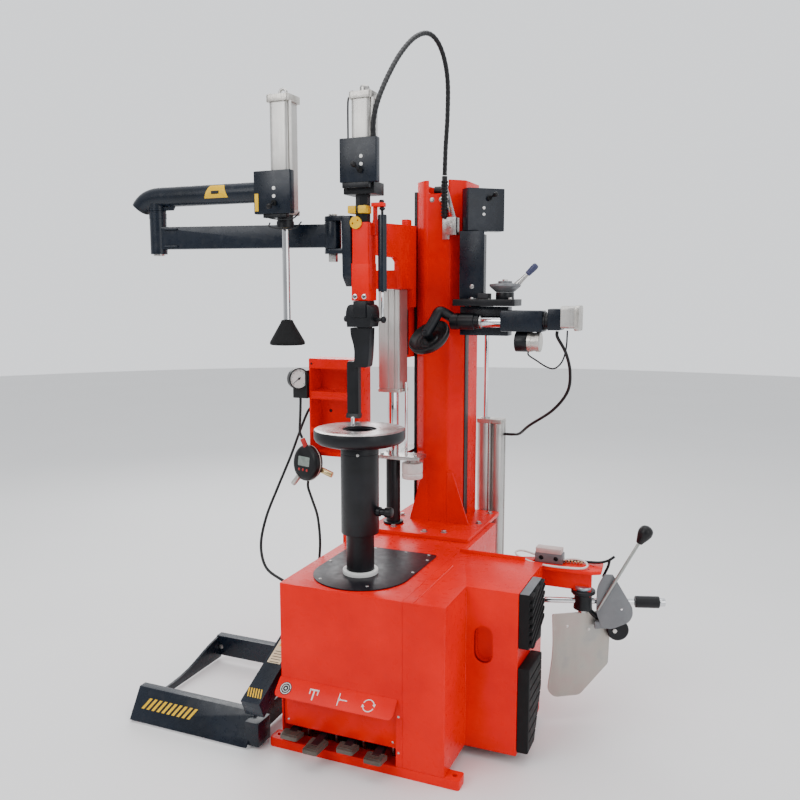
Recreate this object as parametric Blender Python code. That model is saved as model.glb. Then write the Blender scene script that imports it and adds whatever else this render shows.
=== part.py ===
"""Tire changer: a leverless machine with a centre post, built as separate named pieces.

Metres, +Z up. The origin is on the floor, on the axis of the turntable spindle.
X runs to the right along the cabinet front, Y runs to the back, towards the column.
"""

import math

import bmesh
import bpy
from mathutils import Matrix, Vector

GAP = 0.0003          # between pieces that touch
SHEET = 0.003         # cabinet steel
ROUND_SIDES = 24      # sides of a round piece
SMALL_SIDES = 12      # sides of a small round piece

# Cabinet
CABINET_LEFT = -0.206
CABINET_RIGHT = 0.365
CABINET_FRONT = -0.182
CABINET_REAR = 0.760
CABINET_TOP = 0.575
REAR_RIGHT = 0.250    # right side of the narrow rear half
BASE_HEIGHT = 0.032
PAD_BOX_FRONT = 0.019
PAD_BOX_REAR = 0.346
PAD_BOX_RIGHT = 0.538
PAD_THICKNESS = 0.044
PAD_REAR = 0.195
NOTCH_TOP = 0.250     # top of the pedal opening
PEDAL_SLOT_TOP = 0.087
PEDAL_X = (-0.160, -0.055, 0.045, 0.150)
PEDAL_Y = -0.110      # the pedals' hinge line
PEDAL_Z = 0.100

# Turntable
DISC_TOP = 1.067
DISC_RADIUS = 0.150
BORE_RADIUS = 0.054
SPINDLE_RADIUS = 0.063
SHAFT_RADIUS = 0.0465
SHOULDER_Z = 0.715
COVER_TOP = CABINET_TOP + 0.0063

# Column
COLUMN_LEFT = -0.072
COLUMN_RIGHT = 0.131
COLUMN_FRONT = 0.640
COLUMN_REAR = 0.860
COLUMN_TOP = 1.935
COLUMN_WALL = 0.006
COLUMN_FOOT = CABINET_TOP + 0.015
CORNER = 0.050        # front corner cut of the column
RAIL = 0.012          # how far a guide rail stands out

# Tool arm over the turntable
ARM_X = -0.050
ARM_Y = 0.170
ARM_BOTTOM = 1.480
ARM_TOP = 1.742
SHAFT_X = -0.072
FINGER_AXIS_Z = 1.418

# Helper arm: right hinge, left hinge, press cylinder
HINGE = Vector((-0.180, 0.175, 0.0))
ELBOW = Vector((-0.828, 0.059, 0.0))
BEAM_LOW = 1.662
BEAM_HIGH = 1.741
PRESS_X = -0.300
PRESS_Y = ELBOW.y
PRESS_TUBE_Z = 1.846
PRESS_TUBE_RADIUS = 0.035

# Control boxes and their levers
HEAD_BOX_FRONT = 0.104
PRESS_BOX_FRONT = -0.008
DISC_BOX_CORNER = Vector((0.167, 0.600, 0.0))
DISC_BOX_ALONG = Vector((0.756, 0.655, 0.0)).normalized()
LEVER_LENGTH = 0.036

# Lifting gear of the tool arm
LIFT_X = -0.120
LIFT_Y = 0.560
PLATFORM_Z = 0.872

# Bead disc arm on the right of the column
SLIDE_Y = 0.562
SLIDE_Z = 1.400
DISC_CENTRE = Vector((0.057, 0.486, 1.3445))
DISC_AXIS = Vector((-0.235, -0.633, 0.738)).normalized()   # from the disc towards its arm
DISC_ELBOW = Vector((0.083, 0.526, 1.436))
CLAMP_AXIS = Vector((0.316, 0.600, 0.0))
ROD_X = 0.150
ROD_Y = 0.915

# Wheel lift on the left
LIFT_PIVOT = Vector((0.0, 0.120, 0.336))
LIFT_END = Vector((0.0, -0.272, 0.150))

# Bead breaker on the right
BREAKER_HINGE = Vector((0.480, 0.400, 0.0))
SHOVEL_AXIS = Vector((0.672, 0.395, 0.0))
ROD_DIRECTION = Vector((0.947, 0.322, 0.0)).normalized()
BLADE_DIRECTION = Vector((0.854, 0.521, 0.0)).normalized()
BREAKER_ROD_Z = 0.440

PAINT = {
    "red": ((0.80, 0.07, 0.03), 0.35, 0.0),
    "black": ((0.012, 0.013, 0.016), 0.38, 0.0),
    "steel": ((0.42, 0.42, 0.41), 0.35, 1.0),
    "chrome": ((0.75, 0.76, 0.78), 0.12, 1.0),
    "aluminium": ((0.60, 0.59, 0.56), 0.30, 1.0),
    "cast": ((0.10, 0.10, 0.11), 0.55, 0.4),
    "rubber": ((0.015, 0.015, 0.015), 0.75, 0.0),
    "plastic": ((0.02, 0.02, 0.022), 0.45, 0.0),
    "zinc": ((0.45, 0.43, 0.40), 0.45, 0.9),
}


# ---------------------------------------------------------------- tools

def clear_scene():
    for item in list(bpy.data.objects):
        bpy.data.objects.remove(item, do_unlink=True)


def material(piece_name, paint):
    colour, roughness, metallic = PAINT[paint]
    new = bpy.data.materials.new(piece_name + "_" + paint)
    new.use_nodes = True
    shader = new.node_tree.nodes["Principled BSDF"]
    shader.inputs["Base Color"].default_value = (*colour, 1.0)
    shader.inputs["Roughness"].default_value = roughness
    shader.inputs["Metallic"].default_value = metallic
    return new


def new_object(name, bm):
    """An object from a bmesh, with its faces turned outwards."""
    bmesh.ops.recalc_face_normals(bm, faces=bm.faces)
    mesh = bpy.data.meshes.new(name)
    bm.to_mesh(mesh)
    bm.free()
    made = bpy.data.objects.new(name, mesh)
    bpy.context.scene.collection.objects.link(made)
    return made


def box(low, high):
    bm = bmesh.new()
    bmesh.ops.create_cube(bm, size=1.0)
    low = Vector(low)
    high = Vector(high)
    bmesh.ops.scale(bm, vec=high - low, verts=bm.verts)
    bmesh.ops.translate(bm, vec=(high + low) / 2, verts=bm.verts)
    return new_object("solid", bm)


def frame_for(axis, up_hint=(0, 0, 1)):
    """A rotation that takes +Z to the axis."""
    axis = Vector(axis).normalized()
    hint = Vector(up_hint)
    if abs(axis.dot(hint)) > 0.99:
        hint = Vector((1, 0, 0))
    side = hint.cross(axis).normalized()
    up = axis.cross(side)
    return Matrix((side, up, axis)).transposed().to_4x4()


def turned(profile, centre=(0, 0, 0), axis=(0, 0, 1), sides=ROUND_SIDES):
    """A solid of revolution. profile is (radius, height) from bottom to top, closed on the axis."""
    bm = bmesh.new()
    rings = []
    for radius, height in profile:
        if radius < 1e-6:
            rings.append([bm.verts.new((0, 0, height))])
            continue
        ring = []
        for step in range(sides):
            angle = 2 * math.pi * step / sides
            ring.append(bm.verts.new((radius * math.cos(angle), radius * math.sin(angle), height)))
        rings.append(ring)
    for lower, upper in zip(rings, rings[1:]):
        skin(bm, lower, upper)
    if len(rings[0]) > 1:
        bm.faces.new(rings[0])
    if len(rings[-1]) > 1:
        bm.faces.new(rings[-1])
    place = Matrix.Translation(Vector(centre)) @ frame_for(axis)
    bmesh.ops.transform(bm, matrix=place, verts=bm.verts)
    return new_object("solid", bm)


def skin(bm, lower, upper):
    """Faces between two rings, either of which may be a single point."""
    count = max(len(lower), len(upper))
    for step in range(count):
        after = (step + 1) % count
        corners = []
        for corner in (lower[step % len(lower)], lower[after % len(lower)],
                       upper[after % len(upper)], upper[step % len(upper)]):
            if corner not in corners:
                corners.append(corner)
        bm.faces.new(corners)


def rod(start, end, radius, sides=ROUND_SIDES):
    start = Vector(start)
    end = Vector(end)
    return turned([(radius, 0), (radius, (end - start).length)], start, end - start, sides)


def prism(outline, thickness, place=None):
    """An outline in XY, extruded up by the thickness, then placed by a matrix."""
    bm = bmesh.new()
    low = [bm.verts.new((x, y, 0)) for x, y in outline]
    high = [bm.verts.new((x, y, thickness)) for x, y in outline]
    bm.faces.new(low)
    bm.faces.new(high)
    skin(bm, low, high)
    if place is not None:
        bmesh.ops.transform(bm, matrix=place, verts=bm.verts)
    return new_object("solid", bm)


def upright(origin, direction):
    """Places an XY outline so that its X runs along direction, its Y runs up,
    and its thickness grows to the right of the direction."""
    along = Vector(direction).normalized()
    up = Vector((0, 0, 1))
    rotation = Matrix((along, up, along.cross(up))).transposed().to_4x4()
    return Matrix.Translation(Vector(origin)) @ rotation


def level(z):
    return Matrix.Translation((0, 0, z))


def side_profile(x):
    """Places an outline of (y, z) points in a plane across X; its thickness grows along +X."""
    rotation = Matrix(((0, 0, 1), (1, 0, 0), (0, 1, 0))).to_4x4()
    return Matrix.Translation((x, 0, 0)) @ rotation


def arc(cx, cy, radius, start, end, steps):
    points = []
    for step in range(steps + 1):
        angle = math.radians(start + (end - start) * step / steps)
        points.append((cx + radius * math.cos(angle), cy + radius * math.sin(angle)))
    return points


def boolean(base, others, operation):
    """Joins or cuts solids, keeps the result in base and removes the others."""
    for other in others:
        cut = base.modifiers.new(operation.lower(), "BOOLEAN")
        cut.operation = operation
        cut.object = other
        cut.solver = "EXACT"
    bpy.context.view_layer.update()
    graph = bpy.context.evaluated_depsgraph_get()
    result = bpy.data.meshes.new_from_object(base.evaluated_get(graph))
    base.modifiers.clear()
    base.data = result
    for other in others:
        bpy.data.objects.remove(other, do_unlink=True)
    return base


def join(*solids):
    return boolean(solids[0], solids[1:], "UNION")


def cut(base, *holes):
    return boolean(base, holes, "DIFFERENCE")


def bevel(piece, width, segments=1):
    rounding = piece.modifiers.new("edge", "BEVEL")
    rounding.width = width
    rounding.segments = segments
    rounding.limit_method = "ANGLE"
    rounding.angle_limit = math.radians(50)
    return piece


def piece(name, solid, paint, pivot=None):
    """Names a solid, gives it its material, and puts its origin on its joint's axis."""
    solid.name = name
    solid.data.name = name
    solid.data.materials.clear()
    solid.data.materials.append(material(name, paint))
    solid.data.shade_smooth()
    solid.data.set_sharp_from_angle(angle=math.radians(32))
    if pivot is not None:
        pivot = Vector(pivot)
        solid.data.transform(Matrix.Translation(-pivot))
        solid.location = pivot
    return solid


def smooth_route(points, count):
    """Points at even spacing along a smooth curve through a route's own points."""
    points = [Vector(point) for point in points]
    ends = [2 * points[0] - points[1]] + points + [2 * points[-1] - points[-2]]
    fine = []
    for index in range(len(points) - 1):
        before, start, end, after = ends[index:index + 4]
        for step in range(20):
            t = step / 20
            fine.append(0.5 * (2 * start + (end - before) * t
                               + (2 * before - 5 * start + 4 * end - after) * t * t
                               + (3 * start - before - 3 * end + after) * t ** 3))
    fine.append(points[-1])
    lengths = [0.0]
    for first, second in zip(fine, fine[1:]):
        lengths.append(lengths[-1] + (second - first).length)
    even = []
    place = 0
    for step in range(count):
        wanted = lengths[-1] * step / (count - 1)
        while place < len(fine) - 2 and lengths[place + 1] < wanted:
            place += 1
        share = (wanted - lengths[place]) / (lengths[place + 1] - lengths[place])
        even.append(fine[place].lerp(fine[place + 1], min(1.0, share)))
    return even


def cord(name, route, radius, paint, resolution=2, spacing=2.6):
    """A plain tube along a route: a hose or a line."""
    length = sum((Vector(b) - Vector(a)).length for a, b in zip(route, route[1:]))
    count = max(6, min(40, round(length / (2 * radius * spacing))))
    curve = bpy.data.curves.new(name, "CURVE")
    curve.dimensions = "3D"
    curve.bevel_depth = radius
    curve.bevel_resolution = resolution
    curve.render_resolution_u = 0
    curve.use_fill_caps = True
    line = curve.splines.new("POLY")
    path = smooth_route(route, count)
    line.points.add(len(path) - 1)
    for point, place in zip(line.points, path):
        point.co = (*place, 1.0)
    made = bpy.data.objects.new(name, curve)
    curve.materials.append(material(name, paint))
    bpy.context.scene.collection.objects.link(made)
    return made


# ---------------------------------------------------------------- cabinet and base

def cabinet_outline(inset):
    """The cabinet seen from above: wide at the front, with the pad box on its right."""
    back_left = -0.110
    back_right = 0.190
    back = 0.890
    return [
        (CABINET_LEFT + inset, CABINET_FRONT + inset),
        (CABINET_RIGHT - inset, CABINET_FRONT + inset),
        (CABINET_RIGHT - inset, PAD_BOX_FRONT + inset),
        (PAD_BOX_RIGHT - inset, PAD_BOX_FRONT + inset),
        (PAD_BOX_RIGHT - inset, PAD_BOX_REAR - inset),
        (REAR_RIGHT - inset, PAD_BOX_REAR - inset),
        (REAR_RIGHT - inset, CABINET_REAR - inset),
        (back_right - inset, CABINET_REAR - inset),
        (back_right - inset, back - inset),
        (back_left + inset, back - inset),
        (back_left + inset, CABINET_REAR - inset),
        (CABINET_LEFT + inset, CABINET_REAR - inset),
    ]


def slot_outline(cx, cy, half_width, half_height):
    straight = half_height - half_width
    top = arc(cx, cy + straight, half_width, 0, 180, 8)
    bottom = arc(cx, cy - straight, half_width, 180, 360, 8)
    return top + bottom


def make_cabinet():
    low = BASE_HEIGHT + GAP
    shell = prism(cabinet_outline(0.0), CABINET_TOP - low, level(low))
    inside = prism(cabinet_outline(SHEET), CABINET_TOP - SHEET - low + 0.01, level(low - 0.01))
    notch = box((-0.200, CABINET_FRONT - 0.01, low - 0.01), (0.205, CABINET_FRONT + 0.02, NOTCH_TOP))
    hatch = turned([(0.120, CABINET_TOP - 0.02), (0.120, CABINET_TOP + 0.02)])
    hand_hole = prism(slot_outline(0.425, 0.390, 0.031, 0.062), 0.02,
                      upright((0, PAD_BOX_FRONT + 0.010, 0), (1, 0, 0)))
    shell = cut(shell, inside, notch, hatch, hand_hole)
    lug = box((0.446, PAD_BOX_REAR - 0.002, 0.352), (0.514, BREAKER_HINGE.y, 0.3997))
    lug_end = turned([(0.034, 0.352), (0.034, 0.3997)], (BREAKER_HINGE.x, BREAKER_HINGE.y, 0))
    rim = box((0.236, PAD_BOX_REAR - 0.006, CABINET_TOP - 0.001),
              (0.476, PAD_BOX_REAR - 0.001, CABINET_TOP + 0.014))
    piece("cabinet", join(shell, lug, lug_end, rim), "red")


def make_base_frame():
    pan = box((-0.200, -0.176, 0.0), (0.244, 0.750, 0.005))
    front = box((-0.254, CABINET_FRONT, 0.0), (0.414, -0.127, BASE_HEIGHT))
    rear = box((-0.254, 0.700, 0.0), (0.300, 0.755, BASE_HEIGHT))
    left = box((-0.200, -0.130, 0.0), (-0.160, 0.705, 0.031))
    right = box((0.200, -0.130, 0.0), (0.240, 0.705, 0.031))
    pad_foot = box((0.300, -0.130, 0.0), (0.340, 0.330, 0.031))
    back_bar = box((0.235, 0.290, 0.0), (0.342, 0.330, 0.031))
    ears = []
    for x in PEDAL_X:
        for side in (-1, 1):
            middle = x + side * 0.020
            ears.append(box((middle - 0.003, PEDAL_Y - 0.012, 0.003), (middle + 0.003, PEDAL_Y + 0.012, 0.114)))
    hinge_line = rod((-0.21, PEDAL_Y, PEDAL_Z), (0.21, PEDAL_Y, PEDAL_Z), 0.0065, SMALL_SIDES)
    frame = join(front, rear, left, right, pad_foot, back_bar, pan, *ears)
    piece("base_frame", cut(frame, hinge_line), "red")


def make_top_cover():
    radius = 0.165
    outline = arc(0.008, 0.0, radius, 180, 360, 24)
    outline += [(0.176, 0.268), (-0.157, 0.268)]
    plate = prism(outline, 0.006, level(CABINET_TOP + GAP))
    hole = turned([(0.066, CABINET_TOP - 0.01), (0.066, CABINET_TOP + 0.02)])
    piece("top_cover", cut(plate, hole), "black")


def make_pedal_panel():
    """The recessed lower panel with the sloped icon plate above it."""
    front = CABINET_FRONT + 0.010
    panel = box((-0.1995, front, PEDAL_SLOT_TOP), (0.2045, front + 0.003, NOTCH_TOP - GAP))
    thickness = 0.003
    top = (CABINET_FRONT - 0.001, 0.258)
    low = (-0.232, 0.212)
    slope = [top, low, (low[0], low[1] - thickness), (top[0], top[1] - thickness - 0.001)]
    plate = prism(slope, 0.418, side_profile(-0.207))
    web = box((-0.15, CABINET_FRONT - 0.012, 0.236), (0.15, front + 0.002, 0.2445))
    piece("pedal_panel", join(panel, plate, web), "red")


def pad_profile(points):
    return prism(points, PAD_THICKNESS, side_profile(PAD_BOX_RIGHT + GAP))


def make_pads():
    upper = pad_profile([(PAD_BOX_FRONT, 0.395), (PAD_REAR, 0.370), (PAD_REAR, 0.575),
                         (PAD_BOX_FRONT, 0.575)])
    lower = pad_profile([(PAD_BOX_FRONT, 0.046), (0.110, 0.046), (PAD_REAR, 0.200),
                         (PAD_REAR, 0.320), (PAD_BOX_FRONT, 0.330)])
    piece("upper_pad", bevel(upper, 0.004), "rubber")
    piece("lower_pad", bevel(lower, 0.004), "rubber")


def make_pedal(name, x, width, tip_y):
    """A rocking pedal: a black arm inside the cabinet and a pad in front of it."""
    pivot = (x, PEDAL_Y, PEDAL_Z)
    back = PEDAL_Y + 0.014
    outline = [(back, 0.088), (back, 0.112), (-0.145, 0.083), (CABINET_FRONT, 0.080),
               (tip_y, 0.076), (tip_y - 0.004, 0.060), (CABINET_FRONT, 0.062), (-0.140, 0.070)]
    arm = prism(outline, 0.026, side_profile(x - 0.013))
    tread = box((x - width / 2, tip_y - 0.002, 0.060), (x + width / 2, tip_y + 0.048, 0.077))
    pin = rod((x - 0.026, pivot[1], pivot[2]), (x + 0.026, pivot[1], pivot[2]), 0.006, SMALL_SIDES)
    piece(name, join(arm, tread, pin), "aluminium", pivot)


def make_pedals():
    make_pedal("inflation_pedal", PEDAL_X[0], 0.074, -0.222)
    make_pedal("lift_pedal", PEDAL_X[1], 0.062, -0.272)
    make_pedal("clamp_pedal", PEDAL_X[2], 0.070, -0.226)
    make_pedal("rotation_pedal", PEDAL_X[3], 0.070, -0.246)


# ---------------------------------------------------------------- drive and turntable

def make_drive():
    body = box((-0.092, -0.085, 0.150), (0.092, 0.120, 0.330))
    barrel = turned([(0.080, 0.325), (0.080, 0.560), (0.058, 0.5605), (0.058, 0.5925)])
    bore = turned([(0.041, 0.199), (0.041, 0.5895), (0.048, 0.590), (0.048, 0.70)])
    side_bore = rod((0, 0.10, 0.200), (0, 0.13, 0.200), 0.013, SMALL_SIDES)
    foot = box((-0.085, -0.080, 0.0053), (0.085, 0.125, 0.160))
    piece("spindle_housing", cut(join(body, barrel, foot), bore, side_bore), "cast")
    motor = rod((0, 0.230, 0.200), (0, 0.470, 0.200), 0.080)
    flange = rod((0, 0.226, 0.200), (0, 0.240, 0.200), 0.095)
    stand = box((-0.075, 0.260, 0.0053), (0.075, 0.440, 0.140))
    terminal = box((-0.045, 0.300, 0.270), (0.045, 0.400, 0.315))
    shaft_hole = rod((0, 0.20, 0.200), (0, 0.30, 0.200), 0.0125, SMALL_SIDES)
    piece("drive_motor", cut(join(motor, flange, stand, terminal), shaft_hole), "cast")
    shaft = rod((0, 0.112, 0.200), (0, 0.290, 0.200), 0.012, SMALL_SIDES)
    coupling = rod((0, 0.140, 0.200), (0, 0.205, 0.200), 0.032)
    piece("motor_shaft", join(shaft, coupling), "steel", (0, 0.200, 0.200))


def make_turntable():
    disc = turned([(0.070, DISC_TOP - 0.0517), (0.128, DISC_TOP - 0.046), (DISC_RADIUS, DISC_TOP - 0.026),
                   (DISC_RADIUS, DISC_TOP - 0.002), (DISC_RADIUS - 0.002, DISC_TOP)], sides=48)
    bore = turned([(BORE_RADIUS, DISC_TOP - 0.08), (BORE_RADIUS, DISC_TOP + 0.01)])
    pin_hole = turned([(0.0065, DISC_TOP - 0.034), (0.0065, DISC_TOP + 0.01)], (-0.048, 0.048, 0),
                      sides=SMALL_SIDES)
    piece("turntable_disc", cut(disc, bore, pin_hole), "steel", (0, 0, 0))
    top = DISC_TOP - 0.052
    post = turned([(0.040, 0.205), (0.040, 0.5955), (SHAFT_RADIUS, 0.596), (SHAFT_RADIUS, SHOULDER_Z),
                   (SPINDLE_RADIUS, SHOULDER_Z + 0.004), (SPINDLE_RADIUS, top)])
    socket = turned([(0.045, top - 0.100), (0.045, top + 0.01)])
    fitting = rod((SHAFT_RADIUS, 0, 0.795), (0.090, 0, 0.795), 0.016, SMALL_SIDES)
    knob = turned([(0.010, 0), (0.017, 0.006), (0.017, 0.022), (0.010, 0.028)],
                  (0.089, 0, 0.795), (1, 0, 0), SMALL_SIDES)
    piece("spindle_post", join(cut(post, socket), fitting, knob), "black", (0, 0, 0))
    pin = turned([(0.006, DISC_TOP - 0.010), (0.006, DISC_TOP + 0.026), (0.003, DISC_TOP + 0.030)],
                 (-0.048, 0.048, 0), sides=SMALL_SIDES)
    piece("drive_pin", pin, "steel", (-0.048, 0.048, DISC_TOP))


# ---------------------------------------------------------------- column

def column_outline(inset):
    shift = inset * (math.sqrt(2) - 1)
    return [
        (COLUMN_LEFT + inset, COLUMN_REAR - inset),
        (COLUMN_LEFT + inset, COLUMN_FRONT + CORNER + shift),
        (COLUMN_LEFT + CORNER + shift, COLUMN_FRONT + inset),
        (COLUMN_RIGHT - CORNER - shift, COLUMN_FRONT + inset),
        (COLUMN_RIGHT - inset, COLUMN_FRONT + CORNER + shift),
        (COLUMN_RIGHT - inset, COLUMN_REAR - inset),
    ]


def make_column():
    tube = prism(column_outline(0.0), COLUMN_TOP - COLUMN_FOOT + 0.002, level(COLUMN_FOOT - 0.002))
    inside = prism(column_outline(COLUMN_WALL), 1.6, level(COLUMN_FOOT + 0.003))
    window = box((-0.005, COLUMN_FRONT - 0.01, 1.885), (0.076, COLUMN_FRONT + 0.01, COLUMN_TOP + 0.01))
    tube = cut(tube, inside, window)
    plate = box((-0.160, 0.452, CABINET_TOP + GAP), (0.230, 0.882, COLUMN_FOOT))
    gusset = prism([(-0.081, COLUMN_FOOT - 0.001), (0.0, COLUMN_FOOT - 0.001), (-0.010, 0.800),
                    (-0.024, 0.800)], 0.008, upright((0, COLUMN_FRONT + 0.006, 0), (1, 0, 0)))
    rails = []
    for inner, outer in ((COLUMN_LEFT + 0.001, COLUMN_LEFT - RAIL), (COLUMN_RIGHT - 0.001, COLUMN_RIGHT + 0.003)):
        rails.append(box((min(inner, outer), 0.692, 0.610), (max(inner, outer), 0.735, 1.900)))
    piece("column", join(tube, plate, gusset, *rails), "red")


def make_lift_post():
    """Black support tube, platform, and the piston rod that the lift cylinder rides on."""
    tube = turned([(0.028, COLUMN_FOOT + GAP), (0.028, 0.860)], (LIFT_X, LIFT_Y, 0))
    platform = box((-0.174, 0.515, 0.857), (0.006, 0.605, PLATFORM_Z))
    bracket = box((-0.150, 0.600, 0.857), (COLUMN_LEFT - RAIL - GAP, 0.800, PLATFORM_Z))
    piston_rod = turned([(0.022, PLATFORM_Z - 0.002), (0.022, 1.180), (0.039, 1.1805), (0.039, 1.205)],
                        (LIFT_X, LIFT_Y, 0))
    guide = turned([(0.006, PLATFORM_Z - 0.002), (0.006, 1.160)], (-0.0645, LIFT_Y, 0), sides=SMALL_SIDES)
    piece("lift_post", join(platform, tube, bracket, piston_rod, guide), "black")


def make_rear_cylinder():
    barrel = turned([(0.032, 0.210), (0.032, 0.985)], (ROD_X, ROD_Y + 0.010, 0))
    twin = turned([(0.026, 0.210), (0.026, 0.975)], (0.205, 0.930, 0))
    low = box((0.118, 0.8903, 0.200), (0.232, 0.958, 0.222))
    high = box((0.118, 0.895, 0.962), (0.232, 0.958, 0.980))
    bore = turned([(0.0105, 0.240), (0.0105, 1.0)], (ROD_X, ROD_Y + 0.010, 0), sides=SMALL_SIDES)
    piece("rear_cylinder", cut(join(barrel, twin, low, high), bore), "aluminium")


def make_hose_guide():
    block = box((0.083, 0.600, 1.724), (0.122, COLUMN_FRONT - GAP, 1.790))
    strip = prism([(-0.011, 0.0), (0.011, 0.0), (0.011, 0.150), (-0.011, 0.150)], 0.004,
                  Matrix.Translation((0.100, 0.632, 1.786)) @ Matrix.Rotation(math.radians(-16), 4, "Y")
                  @ Matrix.Rotation(math.radians(90), 4, "X"))
    foot = box((0.055, 0.632, 1.710), (0.100, COLUMN_FRONT - GAP, 1.790))
    piece("hose_guide", join(block, foot, strip), "steel")


# ---------------------------------------------------------------- tray, gauge, inflator

def make_tray():
    left, right, front, rear, low, high = -0.378, -0.162, 0.345, 0.440, 0.887, 1.260
    body = box((left, front, low), (right, rear, high))
    shelf = 0.008
    recesses = []
    for bottom, top in ((1.135, 1.222), (0.995, 1.105), (0.902, 0.975)):
        recesses.append(box((left + shelf, front - 0.01, bottom), (right - shelf, rear - shelf, top)))
    post = box((-0.232, 0.330, 0.300), (CABINET_LEFT - GAP, 0.360, 0.893))
    piece("tool_tray", join(cut(body, *recesses), post), "red")


def make_gauge():
    face = Vector((0.819, -0.574, 0.0))
    centre = Vector((-0.412, 0.318, 1.180))
    dial = turned([(0.038, -0.028), (0.041, -0.024), (0.041, 0.0)], centre, face)
    back = box((-0.440, 0.330, 1.106), (-0.3783, 0.372, 1.215))
    piece("pressure_gauge", join(back, dial), "plastic")


def make_inflator():
    face = Vector((-0.34, -0.93, 0.12)).normalized()
    centre = Vector((-0.362, 0.296, 0.866))
    body = turned([(0.045, -0.030), (0.060, -0.024), (0.068, -0.006), (0.068, 0.010), (0.056, 0.020)],
                  centre, face)
    lever = rod(centre + Vector((-0.030, -0.010, -0.050)), centre + Vector((-0.058, -0.010, -0.085)), 0.011,
                SMALL_SIDES)
    neck = rod(centre + Vector((0, 0, 0.050)), centre + Vector((-0.020, 0, 0.092)), 0.010, SMALL_SIDES)
    stub = rod(centre + Vector((0.040, 0.010, -0.020)), centre + Vector((0.100, 0.012, -0.042)), 0.012,
               SMALL_SIDES)
    piece("tyre_inflator", join(body, lever, neck, stub), "plastic")


# ---------------------------------------------------------------- tool arm

def make_tool_carriage():
    left = -0.140
    slider = box((left, 0.640, 1.250), (COLUMN_LEFT - RAIL - 0.0013, 0.805, 1.765))
    plate_left = -0.078
    plate_right = -0.058
    flange = box((left, 0.616, 1.450), (plate_right, 0.650, 1.765))
    haunch = [(0.630, 1.765), (ARM_Y + 0.0403, 1.748), (ARM_Y + 0.0403, 1.640), (0.430, 1.636)]
    haunch += arc(0.430, 1.574, 0.062, 80, 10, 4)
    haunch += [(0.500, 1.522), (0.630, 1.522)]
    plate = prism(haunch, plate_right - plate_left, side_profile(plate_left))
    block = box((-0.172, 0.508, 1.520), (plate_right - 0.004, 0.618, 1.592))
    piece("tool_carriage", join(slider, flange, plate, block), "red", (LIFT_X, LIFT_Y, 1.5))


def make_lift_cylinder():
    barrel = turned([(0.048, 1.130), (0.048, 1.5197)], (LIFT_X, LIFT_Y, 0))
    flange = box((-0.174, 0.515, 1.128), (-0.0715, 0.605, 1.140))
    bore = turned([(0.0225, 1.10), (0.0225, 1.142), (0.040, 1.1425), (0.040, 1.505)], (LIFT_X, LIFT_Y, 0))
    piece("lift_cylinder", cut(join(barrel, flange), bore), "aluminium", (LIFT_X, LIFT_Y, 1.5))


def make_tool_arm():
    front, rear = ARM_Y - 0.032, ARM_Y + 0.032
    upper = box((-0.090, front, 1.595), (-0.030, rear, ARM_TOP))
    lower = box((-0.0937, front, ARM_BOTTOM), (-0.028, rear, 1.607))
    web = box((-0.078, rear - 0.002, 1.640), (-0.058, ARM_Y + 0.040, ARM_TOP))
    strap_foot = box((-0.034, 0.172, 1.700), (-0.0205, 0.196, 1.738))
    strap = box((-0.0275, 0.172, 1.700), (-0.0205, 0.196, 1.806))
    lug = box((-0.0275, 0.155, 1.7925), (0.016, 0.196, 1.806))
    bore = turned([(0.0235, 1.690), (0.0235, 1.80)], (SHAFT_X + 0.009, ARM_Y, 0), sides=SMALL_SIDES)
    piece("tool_arm", cut(join(upper, lower, web, strap_foot, strap, lug), bore), "red", (ARM_X, ARM_Y, 1.6))


def make_head_cylinder():
    centre = (-0.055, ARM_Y)
    half = 0.037
    barrel = box((centre[0] - half, centre[1] - half, 1.870), (centre[0] + half, centre[1] + half, 2.151))
    cap = box((centre[0] - 0.042, centre[1] - 0.042, 2.150), (centre[0] + 0.042, centre[1] + 0.042, 2.163))
    knob = turned([(0.017, 2.162), (0.017, 2.183), (0.012, 2.188)], (centre[0], centre[1], 0),
                  sides=SMALL_SIDES)
    mount = box((-0.118, 0.1328, 1.833), (-0.005, 0.216, 1.8745))
    bore = turned([(0.0235, 1.82), (0.0235, 1.866)], (SHAFT_X + 0.009, ARM_Y, 0), sides=SMALL_SIDES)
    piece("head_cylinder", cut(join(barrel, cap, knob, mount), bore), "aluminium", (ARM_X, ARM_Y, 1.9))


def make_head_control_box():
    shell = box((-0.118, HEAD_BOX_FRONT, 1.868), (0.017, 0.1325, 2.011))
    piece("head_control_box", bevel(shell, 0.002), "black", (ARM_X, ARM_Y, 1.9))


def make_tool_shaft():
    centre = (SHAFT_X + 0.009, ARM_Y, 0)
    shaft = turned([(0.023, 1.700), (0.023, 1.850)], centre, sides=6)
    clamp = box((-0.112, 0.134, 1.770), (-0.028, 0.206, 1.798))
    piece("tool_shaft", join(shaft, clamp), "cast", (SHAFT_X, ARM_Y, 1.75))


def make_helper_bracket():
    right = -0.0943
    plate = prism([(0.140, 1.560), (0.170, 1.525), (0.200, 1.560), (0.205, 1.765), (0.135, 1.765)], 0.034,
                  side_profile(right - 0.034))
    forks = []
    for low, high in ((1.640, 1.6567), (1.7503, 1.767)):
        forks.append(box((HINGE.x, 0.146, low), (right - 0.030, 0.204, high)))
        forks.append(turned([(0.029, low), (0.029, high)], HINGE))
    pin = turned([(0.010, 1.632), (0.010, 1.775)], HINGE, sides=SMALL_SIDES)
    nut = turned([(0.016, 1.612), (0.016, 1.6405)], HINGE, sides=6)
    piece("helper_bracket", join(plate, *forks, pin, nut), "black", (ARM_X, ARM_Y, 1.6))


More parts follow.
